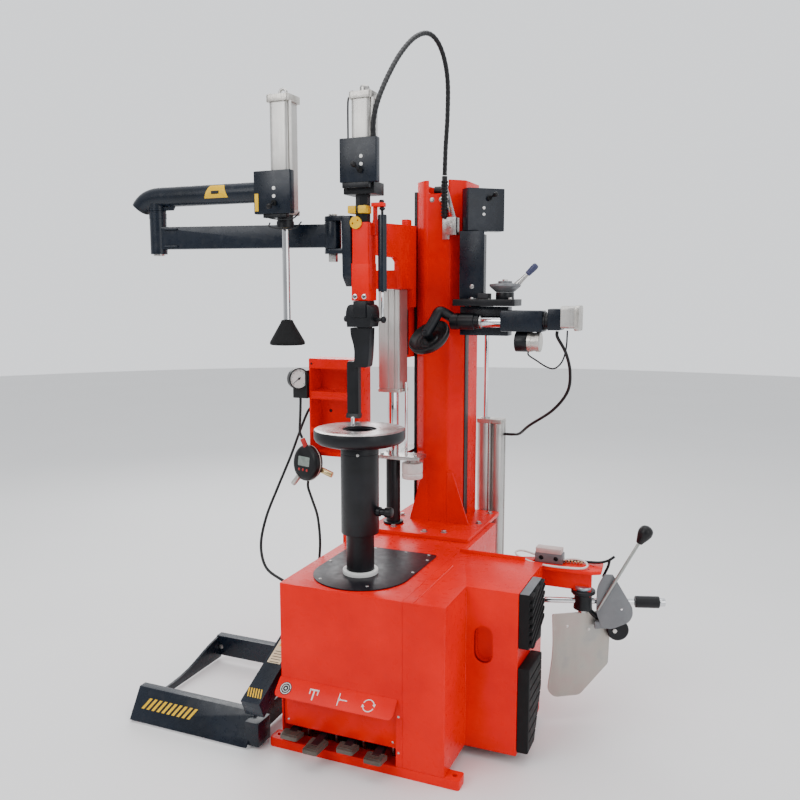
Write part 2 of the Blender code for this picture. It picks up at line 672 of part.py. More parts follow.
def make_tool_head():
    body = box((-0.120, 0.125, 1.391), (-0.012, 0.215, 1.468))
    neck = box((-0.085, 0.135, 1.460), (-0.025, 0.205, ARM_BOTTOM - GAP))
    slot = box((-0.082, 0.10, 1.38), (-0.036, 0.24, 1.455))
    stud = rod((-0.014, ARM_Y, 1.416), (0.020, ARM_Y, 1.416), 0.008, SMALL_SIDES)
    knob = rod((-0.138, ARM_Y, FINGER_AXIS_Z), (-0.118, ARM_Y, FINGER_AXIS_Z), 0.010, SMALL_SIDES)
    pin_hole = rod((-0.100, ARM_Y, FINGER_AXIS_Z), (-0.020, ARM_Y, FINGER_AXIS_Z), 0.0085, SMALL_SIDES)
    piece("tool_head", cut(join(cut(body, slot), neck, stud, knob), pin_hole), "black", (ARM_X, ARM_Y, 1.4))


def make_tool_finger():
    """The hooked bead tool, which tips on a pin across the head."""
    tongue = box((-0.080, 0.152, 1.380), (-0.038, 0.188, 1.438))
    pin = rod((-0.099, ARM_Y, FINGER_AXIS_Z), (-0.021, ARM_Y, FINGER_AXIS_Z), 0.008, SMALL_SIDES)
    shank = prism([(-0.110, 1.388), (-0.016, 1.388), (-0.020, 1.300), (-0.024, 1.252), (-0.092, 1.252),
                   (-0.092, 1.340)], 0.052, upright((0, 0.196, 0), (1, 0, 0)))
    blade = box((-0.124, 0.158, 1.078), (-0.080, 0.184, 1.272))
    tip = prism([(0.158, 1.080), (0.184, 1.080), (0.184, 1.072), (0.172, 1.070), (0.150, 1.0735),
                 (0.150, 1.080)], 0.040, side_profile(-0.122))
    piece("tool_finger", join(shank, tongue, pin, blade, tip), "black", (ARM_X, ARM_Y, FINGER_AXIS_Z))


def make_gas_spring():
    barrel = turned([(0.005, 1.4245), (0.005, 1.512), (0.0145, 1.5125), (0.0145, 1.780), (0.007, 1.784),
                     (0.007, 1.792)], (0.008, ARM_Y, 0), sides=SMALL_SIDES)
    piece("gas_spring", barrel, "black", (ARM_X, ARM_Y, 1.6))


# ---------------------------------------------------------------- helper arm

def make_helper_beam():
    along = (ELBOW - HINGE).normalized()
    length = (ELBOW - HINGE).length
    thickness = 0.040
    outline = [(0.0, BEAM_LOW), (length, BEAM_LOW), (length, BEAM_HIGH), (0.0, BEAM_HIGH)]
    beam = prism(outline, thickness, upright(HINGE - along.cross(Vector((0, 0, 1))) * thickness / 2, along))
    knuckle = turned([(0.029, 1.657), (0.029, 1.750)], HINGE)
    end = turned([(0.030, 1.645), (0.030, 1.798)], ELBOW)
    hole = turned([(0.0105, 1.6), (0.0105, 1.8)], HINGE, sides=SMALL_SIDES)
    end_hole = turned([(0.0125, 1.63), (0.0125, 1.82)], ELBOW, sides=SMALL_SIDES)
    piece("helper_beam", cut(join(beam, knuckle, end), hole, end_hole), "black", HINGE)


def make_press_tube():
    route = [(-0.895, PRESS_Y, 1.812), (-0.872, PRESS_Y, 1.832), (-0.842, PRESS_Y, 1.843),
             (-0.808, PRESS_Y, PRESS_TUBE_Z), (PRESS_X - 0.0378, PRESS_Y, PRESS_TUBE_Z)]
    bm = bmesh.new()
    rings = []
    for index, point in enumerate(route):
        before = Vector(route[max(0, index - 1)])
        after = Vector(route[min(len(route) - 1, index + 1)])
        turn = Matrix.Translation(Vector(point)) @ frame_for(after - before, (0, 1, 0))
        ring = []
        for step in range(ROUND_SIDES):
            angle = 2 * math.pi * step / ROUND_SIDES
            spot = Vector((PRESS_TUBE_RADIUS * math.cos(angle), PRESS_TUBE_RADIUS * math.sin(angle), 0))
            ring.append(bm.verts.new(turn @ spot))
        rings.append(ring)
    for lower, upper in zip(rings, rings[1:]):
        skin(bm, lower, upper)
    bm.faces.new(rings[0])
    bm.faces.new(rings[-1])
    tube = new_object("solid", bm)
    boss = turned([(0.030, 1.7983), (0.030, 1.835)], ELBOW)
    pin = turned([(0.012, 1.655), (0.012, 1.80)], ELBOW, sides=SMALL_SIDES)
    web = box((-0.885, PRESS_Y - 0.010, 1.7985), (-0.775, PRESS_Y + 0.010, 1.830))
    piece("press_tube", join(tube, boss, web, pin), "black", ELBOW)


def make_press_cylinder():
    half = 0.0375
    barrel = box((PRESS_X - half, PRESS_Y - half, 1.765), (PRESS_X + half, PRESS_Y + half, 2.139))
    cap = box((PRESS_X - 0.043, PRESS_Y - 0.043, 2.138), (PRESS_X + 0.043, PRESS_Y + 0.043, 2.151))
    nose = box((PRESS_X - 0.028, PRESS_Y - 0.028, 1.722), (PRESS_X + 0.028, PRESS_Y + 0.028, 1.767))
    eye = rod((PRESS_X, PRESS_Y - 0.007, 2.162), (PRESS_X, PRESS_Y + 0.007, 2.162), 0.016, SMALL_SIDES)
    bore = turned([(0.0135, 1.70), (0.0135, 1.800), (0.031, 1.8005), (0.031, 2.122)], (PRESS_X, PRESS_Y, 0))
    piece("press_cylinder", cut(join(barrel, cap, nose, eye), bore), "aluminium", ELBOW)


def make_press_control_box():
    shell = box((-0.380, PRESS_BOX_FRONT, 1.766), (-0.241, PRESS_Y - 0.0378, 1.906))
    piece("press_control_box", bevel(shell, 0.002), "black", ELBOW)


def make_press_rod():
    shaft = turned([(0.013, 1.4153), (0.013, 2.080), (0.030, 2.0805), (0.030, 2.108)], (PRESS_X, PRESS_Y, 0))
    piece("press_rod", shaft, "chrome", (PRESS_X, PRESS_Y, 1.7))
    cone = turned([(0.056, 1.330), (0.060, 1.334), (0.060, 1.342), (0.021, 1.410), (0.017, 1.415)],
                  (PRESS_X, PRESS_Y, 0))
    piece("press_cone", cone, "rubber", (PRESS_X, PRESS_Y, 1.7))


def make_lever(name, face_point, face_normal, direction):
    """A small control lever: a tapered collar that rocks on the box's face, and a stalk with a rounded end."""
    face_normal = Vector(face_normal).normalized()
    root = Vector(face_point) + face_normal * GAP
    tip = root + Vector(direction).normalized() * LEVER_LENGTH
    collar = turned([(0.0015, 0.0), (0.009, 0.0022), (0.009, 0.010)], root, face_normal, SMALL_SIDES)
    stalk = rod(root + face_normal * 0.006, tip, 0.005, SMALL_SIDES)
    ball = turned([(0.006, -0.010), (0.009, -0.004), (0.009, 0.006), (0.005, 0.010)], tip, direction, SMALL_SIDES)
    piece(name, join(collar, stalk, ball), "plastic", root)


def make_levers():
    make_lever("head_lever", (-0.040, HEAD_BOX_FRONT, 1.905), (0, -1, 0), (-0.35, -0.80, 0.45))
    make_lever("press_lever", (-0.300, PRESS_BOX_FRONT, 1.800), (0, -1, 0), (0.0, -0.90, -0.35))
    face = Vector((DISC_BOX_ALONG.y, -DISC_BOX_ALONG.x, 0.0))
    middle = DISC_BOX_CORNER + DISC_BOX_ALONG * 0.086 + Vector((0, 0, 1.860))
    make_lever("disc_lever", middle, face, face + Vector((0.30, 0.26, 0.35)))


# ---------------------------------------------------------------- bead disc arm

def make_disc_carriage():
    left = COLUMN_RIGHT + 0.0043
    channel = box((left, 0.605, 1.478), (0.172, 0.835, 1.738))
    plate = box((left - 0.008, 0.540, 1.455), (0.367, 0.660, 1.483))
    strap = box((left, 0.760, 1.345), (0.172, 0.945, 1.480))
    shaft = turned([(0.010, 0.600), (0.010, 1.350)], (ROD_X, ROD_Y + 0.010, 0), sides=SMALL_SIDES)
    post = turned([(0.034, 1.480), (0.034, 1.5085)], CLAMP_AXIS)
    piece("disc_carriage", join(channel, plate, strap, shaft, post), "black", (0.15, 0.70, 1.5))


def make_disc_arm_housing():
    block = box((0.141, 0.597, 1.346), (0.330, 0.657, 1.4547))
    tube = box((0.318, SLIDE_Y - 0.035, 1.366), (0.475, SLIDE_Y + 0.037, 1.443))
    fitting = rod((0.473, SLIDE_Y, 1.405), (0.519, SLIDE_Y, 1.405), 0.034)
    cap = rod((0.517, SLIDE_Y, 1.420), (0.607, SLIDE_Y, 1.420), 0.046)
    actuator = rod((0.372, SLIDE_Y, 1.332), (0.464, SLIDE_Y, 1.332), 0.037)
    bore = rod((0.25, SLIDE_Y, SLIDE_Z), (0.515, SLIDE_Y, SLIDE_Z), 0.0225)
    piece("disc_arm_housing", cut(join(block, tube, fitting, cap, actuator), bore), "black", (0.15, 0.70, 1.5))


def make_disc_arm_shaft():
    """The sliding shaft, whose neck bends over the disc and ends in the disc's pin."""
    slide = rod((0.230, SLIDE_Y, SLIDE_Z), (0.448, SLIDE_Y, SLIDE_Z), 0.022)
    body = rod((0.118, SLIDE_Y, SLIDE_Z), (0.236, SLIDE_Y, SLIDE_Z), 0.031)
    shoulder = rod((0.136, SLIDE_Y, SLIDE_Z + 0.009), DISC_ELBOW, 0.021, SMALL_SIDES)
    end = DISC_CENTRE + DISC_AXIS * 0.018
    neck = rod(DISC_ELBOW - (end - DISC_ELBOW) * 0.12, end, 0.020, SMALL_SIDES)
    stub = rod(end, DISC_CENTRE - DISC_AXIS * 0.0092, 0.015, SMALL_SIDES)
    pin = rod(end, DISC_CENTRE - DISC_AXIS * 0.021, 0.008, SMALL_SIDES)
    piece("disc_arm_shaft", join(body, slide, shoulder, neck, stub, pin), "black", (0.2, SLIDE_Y, SLIDE_Z))


def make_bead_disc():
    disc = turned([(0.030, -0.034), (0.054, -0.031), (0.076, -0.018), (0.083, -0.008), (0.083, 0.004),
                   (0.076, 0.006), (0.070, -0.004), (0.044, -0.014), (0.030, -0.014), (0.026, -0.0098)],
                  DISC_CENTRE, DISC_AXIS)
    hole = turned([(0.0085, -0.022), (0.0085, 0.01)], DISC_CENTRE, DISC_AXIS, SMALL_SIDES)
    piece("bead_disc", cut(disc, hole), "plastic", DISC_CENTRE)


def make_disc_control_box():
    inward = Vector((-DISC_BOX_ALONG.y, DISC_BOX_ALONG.x, 0.0))
    outline = []
    for width, depth in ((0, 0), (0.152, 0), (0.152, 0.055), (0, 0.055)):
        spot = DISC_BOX_CORNER + DISC_BOX_ALONG * width + inward * depth
        outline.append((spot.x, spot.y))
    shell = prism(outline, 0.1587, level(1.7383))
    piece("disc_control_box", bevel(shell, 0.002), "black", (0.15, 0.70, 1.5))


def make_clamp_lever():
    hub = turned([(0.030, 1.5088), (0.060, 1.515), (0.060, 1.527), (0.030, 1.540), (0.026, 1.552)], CLAMP_AXIS)
    start = CLAMP_AXIS + Vector((0.040, 0, 1.522))
    end = CLAMP_AXIS + Vector((0.088, 0.004, 1.580))
    arm = rod(start, end, 0.006, SMALL_SIDES)
    grip = rod(end - (end - start) * 0.1, end + (end - start).normalized() * 0.042, 0.011, SMALL_SIDES)
    piece("clamp_lever", join(hub, arm, grip), "steel", CLAMP_AXIS)


# ---------------------------------------------------------------- wheel lift

def make_lift_arm():
    along = (LIFT_END - LIFT_PIVOT).normalized()
    normal = Vector((0, -along.z, along.y))
    half = 0.033
    tip = LIFT_END + along * 0.026
    corners = []
    for spot, side in ((LIFT_PIVOT, 1), (tip, 1), (tip, -1), (LIFT_PIVOT, -1)):
        corner = spot + normal * half * side
        corners.append((corner.y, corner.z))
    beam = prism(corners, 0.072, side_profile(-0.310))
    pivot = rod((-0.310, LIFT_PIVOT.y, LIFT_PIVOT.z), (CABINET_LEFT - GAP, LIFT_PIVOT.y, LIFT_PIVOT.z), 0.034)
    piece("lift_arm", join(beam, pivot), "black", LIFT_PIVOT)


def make_lift_platform():
    right = -0.3106
    front = prism([(-0.240, 0.008), (-0.180, 0.107), (-0.150, 0.107), (-0.150, 0.101), (-0.176, 0.101),
                   (-0.232, 0.008)], 0.470, side_profile(-0.795))
    left = prism([(-0.220, 0.010), (0.310, 0.010), (0.310, 0.104), (0.200, 0.078), (0.100, 0.048),
                  (0.000, 0.036), (-0.222, 0.030)], 0.010, side_profile(-0.800))
    rear = box((-0.800, 0.296, 0.024), (right, 0.303, 0.106))
    lip = box((-0.800, 0.296, 0.100), (right, 0.330, 0.106))
    cheek = prism([(-0.300, 0.130), (-0.285, 0.172), (-0.258, 0.172), (-0.238, 0.130), (-0.190, 0.090),
                   (0.303, 0.085), (0.303, 0.025), (-0.180, 0.008), (-0.270, 0.012), (-0.300, 0.030)], 0.016,
                  side_profile(right - 0.016))
    block = box((right - 0.001, -0.298, 0.012), (-0.262, -0.240, 0.098))
    piece("lift_platform", join(front, left, rear, lip, cheek, block), "black", LIFT_END)


# ---------------------------------------------------------------- bead breaker

def make_breaker_arm():
    top = prism([(0.462, 0.352), (0.700, 0.352), (0.735, 0.372), (0.728, 0.468), (0.500, 0.452),
                 (0.446, 0.430), (0.446, 0.366)], 0.012, level(0.548))
    web = box((0.480, 0.388, 0.478), (0.700, 0.402, 0.550))
    tube = turned([(0.030, 0.400), (0.030, 0.552)], BREAKER_HINGE)
    boss = turned([(0.033, 0.412), (0.031, 0.440), (0.032, 0.474), (0.032, 0.480), (0.028, 0.4805),
                   (0.028, 0.493)], SHOVEL_AXIS)
    collar = box((0.640, 0.375, 0.462), (0.700, 0.415, 0.482))
    start = SHOVEL_AXIS - ROD_DIRECTION * 0.2 + Vector((0, 0, BREAKER_ROD_Z))
    end = SHOVEL_AXIS + ROD_DIRECTION * 0.2 + Vector((0, 0, BREAKER_ROD_Z))
    bore = rod(start, end, 0.0108, SMALL_SIDES)
    pin_hole = turned([(0.0105, 0.40), (0.0105, 0.428)], SHOVEL_AXIS, sides=SMALL_SIDES)
    piece("breaker_arm", cut(join(top, web, tube, boss, collar), bore, pin_hole), "red", BREAKER_HINGE)


def make_breaker_rod():
    middle = SHOVEL_AXIS + Vector((0, 0, BREAKER_ROD_Z))
    shaft = rod(middle - ROD_DIRECTION * 0.134, middle + ROD_DIRECTION * 0.200, 0.0105, SMALL_SIDES)
    grip = rod(middle + ROD_DIRECTION * 0.178, middle + ROD_DIRECTION * 0.262, 0.0205)
    tip = rod(middle + ROD_DIRECTION * 0.250, middle + ROD_DIRECTION * 0.281, 0.0145)
    piece("breaker_rod", join(shaft, grip, tip), "chrome", middle)


def make_breaker_blade():
    """The shovel: a zinc plate on a pin under the boss, with its sector plate beside the rod."""
    outline = [(-0.112, 0.398), (0.074, 0.400), (0.104, 0.372), (0.096, 0.212), (-0.005, 0.098),
               (-0.100, 0.092), (-0.124, 0.120), (-0.106, 0.262)]
    blade = prism(outline, 0.006, upright(SHOVEL_AXIS, BLADE_DIRECTION))
    pin = turned([(0.016, 0.360), (0.016, 0.4117), (0.010, 0.412), (0.010, 0.426)], SHOVEL_AXIS,
                 sides=SMALL_SIDES)
    piece("breaker_blade", join(blade, pin), "zinc", SHOVEL_AXIS)


def make_breaker_lever():
    """The grey sector plate in front of the rod and the operator's lever."""
    forward = ROD_DIRECTION.cross(Vector((0, 0, 1)))
    outline = [(0.042, 0.405), (0.042, 0.500), (0.066, 0.545), (0.095, 0.545), (0.110, 0.521), (0.146, 0.461),
               (0.164, 0.426), (0.166, 0.400), (0.155, 0.376), (0.097, 0.348), (0.064, 0.352)]
    sector = prism(outline, 0.006, upright(SHOVEL_AXIS + forward * 0.022, ROD_DIRECTION))
    foot = SHOVEL_AXIS + ROD_DIRECTION * 0.046 + forward * 0.0290 + Vector((0, 0, 0.418))
    top = SHOVEL_AXIS + ROD_DIRECTION * 0.178 + forward * 0.052 + Vector((0, 0, 0.676))
    stalk = rod(foot, top, 0.0055, SMALL_SIDES)
    knob = turned([(0.010, 0), (0.0245, 0.038), (0.023, 0.056), (0.010, 0.068)], top - (top - foot) * 0.04,
                  top - foot, SMALL_SIDES)
    bridge = prism([(0.040, 0.346), (0.100, 0.352), (0.100, 0.372), (0.040, 0.372)], 0.014,
                   upright(SHOVEL_AXIS + forward * 0.0085, ROD_DIRECTION))
    piece("breaker_lever", join(sector, bridge, stalk, knob), "steel", SHOVEL_AXIS)


# ---------------------------------------------------------------- hoses

def make_hoses():
    top = [(0.000, 0.118, 2.0125), (0.000, 0.119, 2.060), (0.002, 0.150, 2.130), (0.006, 0.220, 2.220),
           (0.014, 0.310, 2.315), (0.030, 0.400, 2.390), (0.048, 0.480, 2.425), (0.064, 0.540, 2.412),
           (0.074, 0.590, 2.360), (0.078, 0.618, 2.280), (0.074, 0.628, 2.160), (0.067, 0.630, 2.050),
           (0.064, 0.630, 1.950)]
    cord("top_hose", top, 0.009, "rubber")
    supply = [(-0.3800, 0.390, 1.060), (-0.402, 0.388, 1.057), (-0.418, 0.352, 0.990), (-0.420, 0.270, 0.890),
              (-0.424, 0.180, 0.790), (-0.420, 0.090, 0.700), (-0.400, 0.020, 0.620), (-0.350, -0.030, 0.560),
              (-0.280, -0.045, 0.530), (-0.232, -0.045, 0.520), (-0.2066, -0.045, 0.518)]
    cord("tray_supply_hose", supply, 0.005, "rubber")
    gauge = [(-0.418, 0.350, 1.1052), (-0.418, 0.349, 1.080), (-0.414, 0.338, 1.035), (-0.402, 0.312, 0.995),
             (-0.392, 0.297, 0.979), (-0.3828, 0.296, 0.9597)]
    cord("gauge_hose", gauge, 0.005, "rubber")
    inflator = [(-0.360, 0.296, 0.7960), (-0.359, 0.294, 0.770), (-0.325, 0.265, 0.730), (-0.285, 0.230, 0.680),
                (-0.260, 0.200, 0.600), (-0.256, 0.184, 0.520), (-0.250, 0.179, 0.480), (-0.238, 0.178, 0.464),
                (-0.2068, 0.178, 0.462)]
    cord("inflator_hose", inflator, 0.005, "rubber")
    arm = [(0.523, SLIDE_Y, 1.3690), (0.524, 0.563, 1.348), (0.548, 0.600, 1.290), (0.557, 0.645, 1.215),
           (0.540, 0.690, 1.135), (0.475, 0.740, 1.055), (0.370, 0.810, 0.980), (0.310, 0.890, 0.930),
           (0.275, 0.926, 0.917), (0.2325, 0.930, 0.915)]
    cord("arm_hose", arm, 0.006, "rubber")
    line = [(0.418, SLIDE_Y, 1.2940), (0.420, 0.561, 1.280), (0.450, 0.556, 1.262), (0.490, 0.550, 1.240),
            (0.520, 0.548, 1.236), (0.546, 0.550, 1.262), (0.558, 0.556, 1.310), (0.560, 0.560, 1.3725)]
    cord("arm_air_line", line, 0.003, "rubber", spacing=3.0)


def build():
    clear_scene()
    make_base_frame()
    make_cabinet()
    make_top_cover()
    make_pedal_panel()
    make_pads()
    make_pedals()
    make_drive()
    make_turntable()
    make_column()
    make_lift_post()
    make_rear_cylinder()
    make_hose_guide()
    make_tray()
    make_gauge()
    make_inflator()
    make_tool_carriage()
    make_lift_cylinder()
    make_tool_arm()
    make_head_cylinder()
    make_head_control_box()
    make_tool_shaft()
    make_helper_bracket()
    make_tool_head()
    make_tool_finger()
    make_gas_spring()
    make_helper_beam()
    make_press_tube()
    make_press_cylinder()
    make_press_control_box()
    make_press_rod()
    make_levers()
    make_disc_carriage()
    make_disc_arm_housing()
    make_disc_arm_shaft()
    make_bead_disc()
    make_disc_control_box()
    make_clamp_lever()
    make_lift_arm()
    make_lift_platform()
    make_breaker_arm()
    make_breaker_rod()
    make_breaker_blade()
    make_breaker_lever()
    make_hoses()


build()
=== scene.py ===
"""Looks for the tire changer: camera, light, hoses, and a finely made piece for each part of the machine.

Metres, +Z up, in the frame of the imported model: the origin is on the floor under the turntable spindle,
X runs to the right along the cabinet front and Y runs back to the column.
"""

import math

import bmesh
import bpy
from mathutils import Matrix, Vector


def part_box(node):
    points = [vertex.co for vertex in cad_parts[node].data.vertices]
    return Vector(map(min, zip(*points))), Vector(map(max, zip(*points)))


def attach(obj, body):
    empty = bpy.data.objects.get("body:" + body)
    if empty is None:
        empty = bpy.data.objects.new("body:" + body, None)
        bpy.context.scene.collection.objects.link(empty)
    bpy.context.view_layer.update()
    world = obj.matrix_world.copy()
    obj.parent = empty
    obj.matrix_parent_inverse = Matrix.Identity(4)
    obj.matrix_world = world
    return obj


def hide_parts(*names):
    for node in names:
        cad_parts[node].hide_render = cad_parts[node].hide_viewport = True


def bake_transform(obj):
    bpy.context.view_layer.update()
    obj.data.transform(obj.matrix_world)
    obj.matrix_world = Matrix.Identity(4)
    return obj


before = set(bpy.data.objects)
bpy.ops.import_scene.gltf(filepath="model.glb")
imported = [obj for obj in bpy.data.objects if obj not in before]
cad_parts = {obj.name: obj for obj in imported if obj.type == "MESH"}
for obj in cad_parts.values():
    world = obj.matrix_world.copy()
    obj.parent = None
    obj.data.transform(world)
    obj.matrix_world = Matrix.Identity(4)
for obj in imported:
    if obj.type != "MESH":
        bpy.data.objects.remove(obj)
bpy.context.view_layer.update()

TINY = 12             # sides of a pin, a knurled knob or a thin tube
SMALL = 24            # sides of a small round piece
MEDIUM = 32           # sides of a shaft or a bore
ROUND = 64            # sides of a large round piece
WIDE = 96             # sides of a disc that is seen from close by
HEXAGON = 6           # sides of a bolt head or a nut
SHARP = 0             # no rounding: cutters and hidden edges
HAIR_EDGE = 0.0008    # rounding of thin sheet and pins
THIN_EDGE = 0.001     # rounding of folded sheet
EDGE = 0.0015         # usual rounding of a machined edge
SOFT_EDGE = 0.002     # rounding of heavy plate
CAST_EDGE = 0.003     # rounding of castings and square tubes
SKIN = 0.0004         # thickness of a label

CABINET_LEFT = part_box("cabinet")[0].x
CABINET_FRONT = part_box("cabinet")[0].y
CABINET_TOP = 0.575
CABINET_RIGHT = 0.365
PAD_BOX_FRONT = 0.019
PAD_BOX_REAR = 0.346
PAD_BOX_RIGHT = 0.538
PEDALS = (-0.16, -0.055, 0.045, 0.15)   # where each pedal is across the front
DISC_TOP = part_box("turntable_disc")[1].z
COLUMN_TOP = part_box("column")[1].z
COLUMN_LEFT = -0.072
COLUMN_RIGHT = 0.131
COLUMN_FRONT = 0.64
COLUMN_REAR = 0.86
COLUMN_FOOT = CABINET_TOP + 0.015
ARM_Y = 0.17
SHAFT_AXIS = Vector((-0.063, ARM_Y, 0))
FINGER_AXIS_Z = 1.418
HINGE = Vector((-0.18, 0.175, 0.0))
ELBOW = Vector((-0.828, 0.059, 0.0))
PRESS = Vector((-0.3, 0.059, 0.0))
LIFT = Vector((-0.12, 0.56, 0.0))           # the air cylinder that raises the tool arm
LIFT_PIVOT = Vector((0.0, 0.12, 0.336))     # the two ends of the wheel lift's arm
LIFT_END = Vector((0.0, -0.272, 0.15))
SLIDE_Y = 0.562
SLIDE_Z = 1.4
REAR_ROD = (0.15, 0.925, 0)
DISC_CENTRE = Vector((0.057, 0.486, 1.3445))
DISC_AXIS = Vector((-0.235, -0.633, 0.738)).normalized()
DISC_ELBOW = Vector((0.083, 0.526, 1.436))
DISC_BOX_CORNER = Vector((0.167, 0.6, 0.0))
DISC_BOX_DIRECTION = Vector((0.756, 0.655, 0.0)).normalized()
CLAMP_AXIS = Vector((0.316, 0.6, 0.0))
HAND_HOLE = (0.425, 0.39)
BREAKER_HINGE = Vector((0.48, 0.4, 0.0))
SHOVEL_AXIS = Vector((0.672, 0.395, 0.0))
ROD_DIRECTION = Vector((0.947, 0.322, 0.0)).normalized()
ROD_HEIGHT = 0.44
BLADE_DIRECTION = Vector((0.854, 0.521, 0.0)).normalized()
UP = Vector((0, 0, 1))
ROD_SIDE = ROD_DIRECTION.cross(UP)
RIGHT = (1, 0, 0)
FORWARD = (0, -1, 0)  # towards the person at the pedals


# ---------------------------------------------------------------- shapes

def as_object(bm, name="solid"):
    bmesh.ops.recalc_face_normals(bm, faces=bm.faces)
    mesh = bpy.data.meshes.new(name)
    bm.to_mesh(mesh)
    bm.free()
    made = bpy.data.objects.new(name, mesh)
    bpy.context.scene.collection.objects.link(made)
    return made


def round_edges(bm, edge):
    """Rounds every edge whose faces meet at more than 40 degrees."""
    if edge <= 0:
        return
    angle = 40
    bmesh.ops.recalc_face_normals(bm, faces=bm.faces)
    sharp = [e for e in bm.edges if e.is_manifold and e.calc_face_angle(0) > math.radians(angle)]
    bmesh.ops.bevel(bm, geom=sharp, offset=edge, segments=2, profile=0.6, affect="EDGES",
                    clamp_overlap=True)


def box(low, high, edge=EDGE):
    low = Vector(low)
    high = Vector(high)
    bm = bmesh.new()
    bmesh.ops.create_cube(bm, size=1.0)
    bmesh.ops.scale(bm, vec=high - low, verts=bm.verts)
    bmesh.ops.translate(bm, vec=(high + low) / 2, verts=bm.verts)
    round_edges(bm, edge)
    return as_object(bm)


def turn_to(axis):
    """A rotation that takes +Z to the axis and keeps +Y near the upward direction."""
    axis = Vector(axis).normalized()
    hint = Vector(RIGHT) if abs(axis.dot(UP)) > 0.99 else UP
    side = hint.cross(axis).normalized()
    return facing(side, axis.cross(side), axis)


def skin(bm, lower, upper):
    count = max(len(lower), len(upper))
    for step in range(count):
        after = (step + 1) % count
        corners = []
        for corner in (lower[step % len(lower)], lower[after % len(lower)],
                       upper[after % len(upper)], upper[step % len(upper)]):
            if corner not in corners:
                corners.append(corner)
        bm.faces.new(corners)


def turned(profile, centre=(0, 0, 0), axis=UP, sides=ROUND):
    """A solid of revolution from (radius, height) points, closed by its two end rings."""
    bm = bmesh.new()
    rings = []
    for radius, height in profile:
        if radius < 1e-6:
            rings.append([bm.verts.new((0, 0, height))])
            continue
        ring = []
        for step in range(sides):
            angle = 2 * math.pi * step / sides
            ring.append(bm.verts.new((radius * math.cos(angle), radius * math.sin(angle), height)))
        rings.append(ring)
    for lower, upper in zip(rings, rings[1:]):
        skin(bm, lower, upper)
    for ring in (rings[0], rings[-1]):
        if len(ring) > 1:
            bm.faces.new(ring)
    bmesh.ops.transform(bm, matrix=Matrix.Translation(Vector(centre)) @ turn_to(axis), verts=bm.verts)
    return as_object(bm)


def barrel(radius, low, high, edge):
    """The profile of a cylinder with rounded rims."""
    soft = edge * 0.3
    return [(radius - edge, low), (radius - soft, low + soft), (radius, low + edge),
            (radius, high - edge), (radius - soft, high - soft), (radius - edge, high)]


def rod(start, end, radius, sides=SMALL, edge=HAIR_EDGE):
    start = Vector(start)
    end = Vector(end)
    return turned(barrel(radius, 0, (end - start).length, min(edge, radius * 0.4)), start, end - start,
                  sides)


def prism(outline, thickness, place, edge=SHARP):
    """An outline given a thickness along its own +Z, then put in its place."""
    bm = bmesh.new()
    low = [bm.verts.new((x, y, 0)) for x, y in outline]
    high = [bm.verts.new((x, y, thickness)) for x, y in outline]
    bm.faces.new(low)
    bm.faces.new(high)
    skin(bm, low, high)
    round_edges(bm, edge)
    bmesh.ops.transform(bm, matrix=place, verts=bm.verts)
    return as_object(bm)


def upright(origin, direction):
    """Stands an outline up: its X runs along the direction, its Y runs up."""
    along = Vector(direction).normalized()
    return Matrix.Translation(Vector(origin)) @ facing(along, UP, along.cross(UP))


def facing(side, rise, out):
    """A rotation whose X, Y and Z run along the three directions."""
    return Matrix((side, rise, out)).transposed().to_4x4()


def level(z):
    return Matrix.Translation((0, 0, z))


def side_profile(x):
    """Places an outline of (y, z) points across X; its thickness grows along +X."""
    return Matrix.Translation((x, 0, 0)) @ Matrix(((0, 0, 1), (1, 0, 0), (0, 1, 0))).to_4x4()


def arc(cx, cy, radius, start, end, steps=10):
    points = []
    for step in range(steps + 1):
        angle = math.radians(start + (end - start) * step / steps)
        points.append((cx + radius * math.cos(angle), cy + radius * math.sin(angle)))
    return points


def rectangle(left, low, right, high):
    return [(left, low), (right, low), (right, high), (left, high)]


def rounded(points, radius, steps=5):
    """An outline with each corner rounded; radius is one value or one for each corner."""
    radii = radius if isinstance(radius, (list, tuple)) else [radius] * len(points)
    made = []
    for index, corner in enumerate(points):
        corner = Vector(corner)
        before = Vector(points[index - 1]) - corner
        after = Vector(points[(index + 1) % len(points)]) - corner
        reach = min(radii[index], before.length * 0.45, after.length * 0.45)
        if reach < 1e-6:
            made.append(tuple(corner))
            continue
        start = corner + before.normalized() * reach
        end = corner + after.normalized() * reach
        for step in range(steps + 1):
            t = step / steps
            spot = start * (1 - t) ** 2 + corner * 2 * t * (1 - t) + end * t * t
            made.append(tuple(spot))
    return made


def slot_outline(cx, cy, half_width, half_height):
    straight = half_height - half_width
    return arc(cx, cy + straight, half_width, 0, 180) + arc(cx, cy - straight, half_width, 180, 360)


def boolean(base, others, operation):
    for other in others:
        step = base.modifiers.new(operation.lower(), "BOOLEAN")
        step.operation = operation
        step.object = other
        step.solver = "EXACT"
    bpy.context.view_layer.update()
    graph = bpy.context.evaluated_depsgraph_get()
    result = bpy.data.meshes.new_from_object(base.evaluated_get(graph))
    base.modifiers.clear()
    base.data = result
    for other in others:
        bpy.data.objects.remove(other, do_unlink=True)
    return base


def join(*solids):
    return boolean(solids[0], solids[1:], "UNION")


def cut(base, *holes):
    return boolean(base, holes, "DIFFERENCE")


def gather(solids):
    """Several solids that don't touch each other, such as a set of bolts, in one mesh."""
    bm = bmesh.new()
    for solid in solids:
        bm.from_mesh(solid.data)
        bpy.data.objects.remove(solid, do_unlink=True)
    return as_object(bm)


def twin(solid):
    """A second copy of a cutting solid, since a cut uses its tool up."""
    made = solid.copy()
    made.data = solid.data.copy()
    bpy.context.scene.collection.objects.link(made)
    return made


